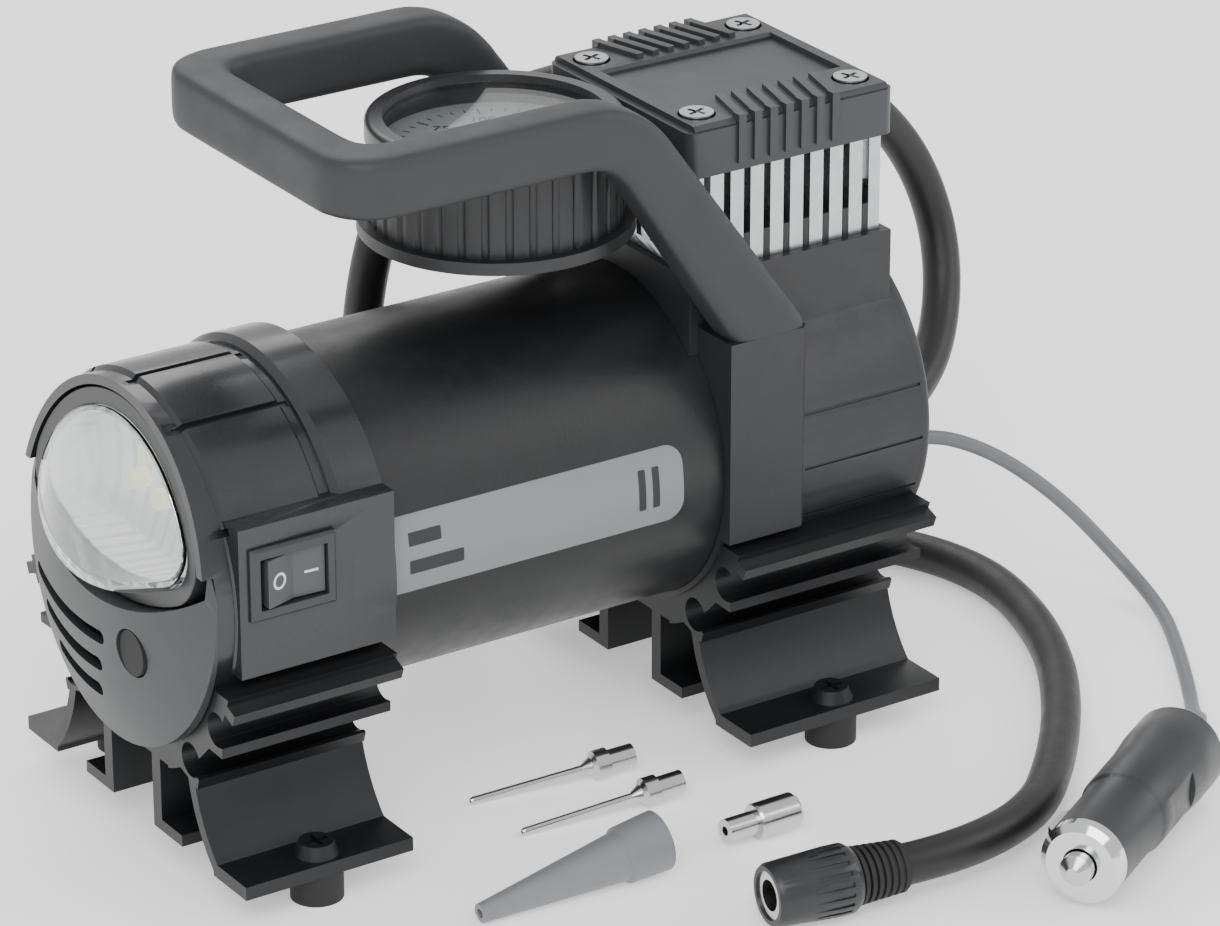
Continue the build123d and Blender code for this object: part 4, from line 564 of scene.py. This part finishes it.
@dataclass
class BarrelLabel:
    """The wrapped label film on the near side of the motor tube: plain stripes, no words."""

    start_x: float = -50.5
    end_x: float = 33.0
    low_z: float = 70.0
    high_z: float = 89.5
    proud: float = 0.12
    ink_proud: float = 0.06
    rows: int = 12
    corner_r: float = 5.0
    bars: tuple[tuple[tuple[float, float], tuple[float, float]], ...] = (
        ((-45.0, -30.0), (74.6, 78.0)), ((-45.0, -36.0), (81.6, 85.0)), ((20.0, 22.0), (74.6, 85.0)),
        ((24.0, 26.0), (74.6, 85.0)))

    def _patch(self, name: str, x: tuple[float, float], z: tuple[float, float], proud: float,
               finish: Finish, round_end: float = 0.0) -> bpy.types.Object:
        """Bend one flat patch round the tube.

        Args:
            name: the piece's name.
            x: where it starts and ends along the tube.
            z: its lower and upper edge.
            proud: how far it stands off the tube.
            finish: its surface.
            round_end: radius of its far corners.
        Returns:
            The bent patch.
        """
        mesh = bmesh.new()
        corners = [(x[0], z[0]), (x[1], z[0]), (x[1], z[1]), (x[0], z[1])]
        face = mesh.faces.new([mesh.verts.new((px, 0.0, pz)) for px, pz in corners])
        if round_end:
            ends = [vert for vert in face.verts if vert.co.x > x[1] - 0.1]
            bmesh.ops.bevel(mesh, geom=ends, offset=round_end, segments=8, profile=0.5, affect="VERTICES",
                            material=-1)
        for row in range(1, self.rows):
            height = z[0] + (z[1] - z[0]) * row / self.rows
            bmesh.ops.bisect_plane(mesh, geom=mesh.verts[:] + mesh.edges[:] + mesh.faces[:],
                                   plane_co=(0, 0, height), plane_no=(0, 0, 1))
        radius = BARREL_R + proud
        for vert in mesh.verts:
            angle = (vert.co.z - AXIS_Z) / BARREL_R
            vert.co = Vector((vert.co.x, -radius * math.cos(angle), AXIS_Z + radius * math.sin(angle))) * MM
        bmesh.ops.recalc_face_normals(mesh, faces=mesh.faces)
        if sum(face.normal.y for face in mesh.faces) > 0:
            bmesh.ops.reverse_faces(mesh, faces=mesh.faces)
        return new_piece(name, mesh, finish, HOUSING)

    def build(self) -> list[bpy.types.Object]:
        """Make the grey film and the dark bars printed on it.

        Returns:
            The film and its bars.
        """
        made = [self._patch("label_film", (self.start_x, self.end_x), (self.low_z, self.high_z), self.proud,
                            PRINT_GREY, self.corner_r)]
        for number, (x, z) in enumerate(self.bars):
            made.append(self._patch(f"label_bar_{number}", x, z, self.proud + self.ink_proud, PRINT_DARK, 0.4))
        return made


@dataclass
class GaugeFace:
    """What is printed on the dial: a scale and its numbers."""

    centre: Point = (7.0, 0.0, 157.0)
    scale_r: float = 24.0
    sweep_deg: float = 250.0
    start_deg: float = -125.0
    divisions: int = 30
    numbers: int = 6

    def _angle(self, share: float) -> float:
        """The direction of a share of the scale, turning clockwise from its start."""
        return math.radians(self.start_deg - share * self.sweep_deg)

    def build(self) -> list[bpy.types.Object]:
        """Print the ticks and the numbers.

        Returns:
            The ticks and each number.
        """
        mesh = bmesh.new()
        middle = Matrix.Translation(Vector(self.centre))
        for tick in range(self.divisions + 1):
            angle = self._angle(tick / self.divisions)
            long_one = tick % (self.divisions // self.numbers) == 0
            length = 3.4 if long_one else 1.8
            turn = middle @ Matrix.Rotation(angle, 4, "Z")
            add_bar(mesh, (self.scale_r - length / 2, 0, 0.06), (length, 0.55 if long_one else 0.3, 0.08), turn)
        made = [new_piece("dial_ticks", mesh, PRINT_DARK, HOUSING)]
        for number in range(self.numbers + 1):
            angle = self._angle(number / self.numbers)
            text = bpy.data.curves.new(f"dial_number_{number}", "FONT")
            text.body = str(number * 25)
            text.size = 4.4
            text.align_x = "CENTER"
            text.align_y = "CENTER"
            text.extrude = 0.04
            holder = bpy.data.objects.new("dial_text", text)
            bpy.context.scene.collection.objects.link(holder)
            flat = bpy.data.meshes.new_from_object(holder)
            bpy.data.objects.remove(holder)
            shape = bmesh.new()
            shape.from_mesh(flat)
            bpy.data.meshes.remove(flat)
            place = Vector(self.centre) + Vector((math.cos(angle), math.sin(angle), 0)) * (self.scale_r - 7.4)
            place.z += 0.08
            move = Matrix.Scale(MM, 4) @ Matrix.Translation(place) @ Matrix.Rotation(math.radians(-33.5), 4, "Z")
            bmesh.ops.transform(shape, matrix=move, verts=shape.verts)
            made.append(new_piece(f"dial_number_{number}", shape, PRINT_DARK, HOUSING))
        return made


@dataclass
class RockerMarks:
    """The circle and the bar moulded into the two ends of the power key."""

    pivot: Point = (-79.0, -42.2, 84.5)
    tilt_deg: float = 7.0
    half_width: float = 8.2

    def build(self) -> list[bpy.types.Object]:
        """Make both marks on the sloping faces of the key.

        Returns:
            The ring and the bar.
        """
        slope = math.atan2(1.5, self.half_width)
        made = []
        for name, side in (("rocker_mark_off", -1), ("rocker_mark_on", 1)):
            mesh = bmesh.new()
            face = (Matrix.Translation(Vector(self.pivot)) @ Matrix.Rotation(math.radians(self.tilt_deg), 4, "Z")
                    @ Matrix.Translation(Vector((side * 4.6, -4.78, 0)))
                    @ Matrix.Rotation(-side * slope, 4, "Z") @ Matrix.Rotation(math.radians(90), 4, "X"))
            if side < 0:
                add_ring(mesh, [(1.5, -0.05), (2.1, -0.05), (2.1, 0.06), (1.5, 0.06)], face, steps=32)
            else:
                add_bar(mesh, (0, 0, 0), (3.6, 0.6, 0.12), face)
            made.append(new_piece(name, mesh, PRINT_WHITE, "rocker"))
        return made


def main() -> None:
    """Build every sub-assembly's looks in order."""
    logging.basicConfig(level=logging.INFO, format="%(message)s")
    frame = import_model()
    record = frame["record"]
    bodies = {node: body for body, nodes in record["behaviour"]["bodies"].items() for node in nodes}
    slots = {entry["node"]: entry["material_slot"] for entry in record["subparts"]}
    studio = Studio()
    studio.build_camera()
    studio.build_light()
    studio.build_floor()
    for node, finish in NODE_FINISHES.items():
        for material_slot in frame["nodes"][node].material_slots:
            material_slot.material = finish.material()
    for assembly in (BarrelLabel(), GaugeFace(), RockerMarks()):
        for piece in assembly.build():
            LOG.info("piece %s", piece.name)
    LOG.info("rounded %s", Grip(frame).build(bodies["handle"], slots["handle"]).name)
    finished = Softener(frame).build(bodies, slots)
    for piece in finished.values():
        LOG.info("finished moulding %s", piece.name)
    for line in (AIR_HOSE, POWER_CORD):
        LOG.info("free line %s", line.build({**frame["nodes"], **finished}).name)


if __name__ == "__main__":
    main()
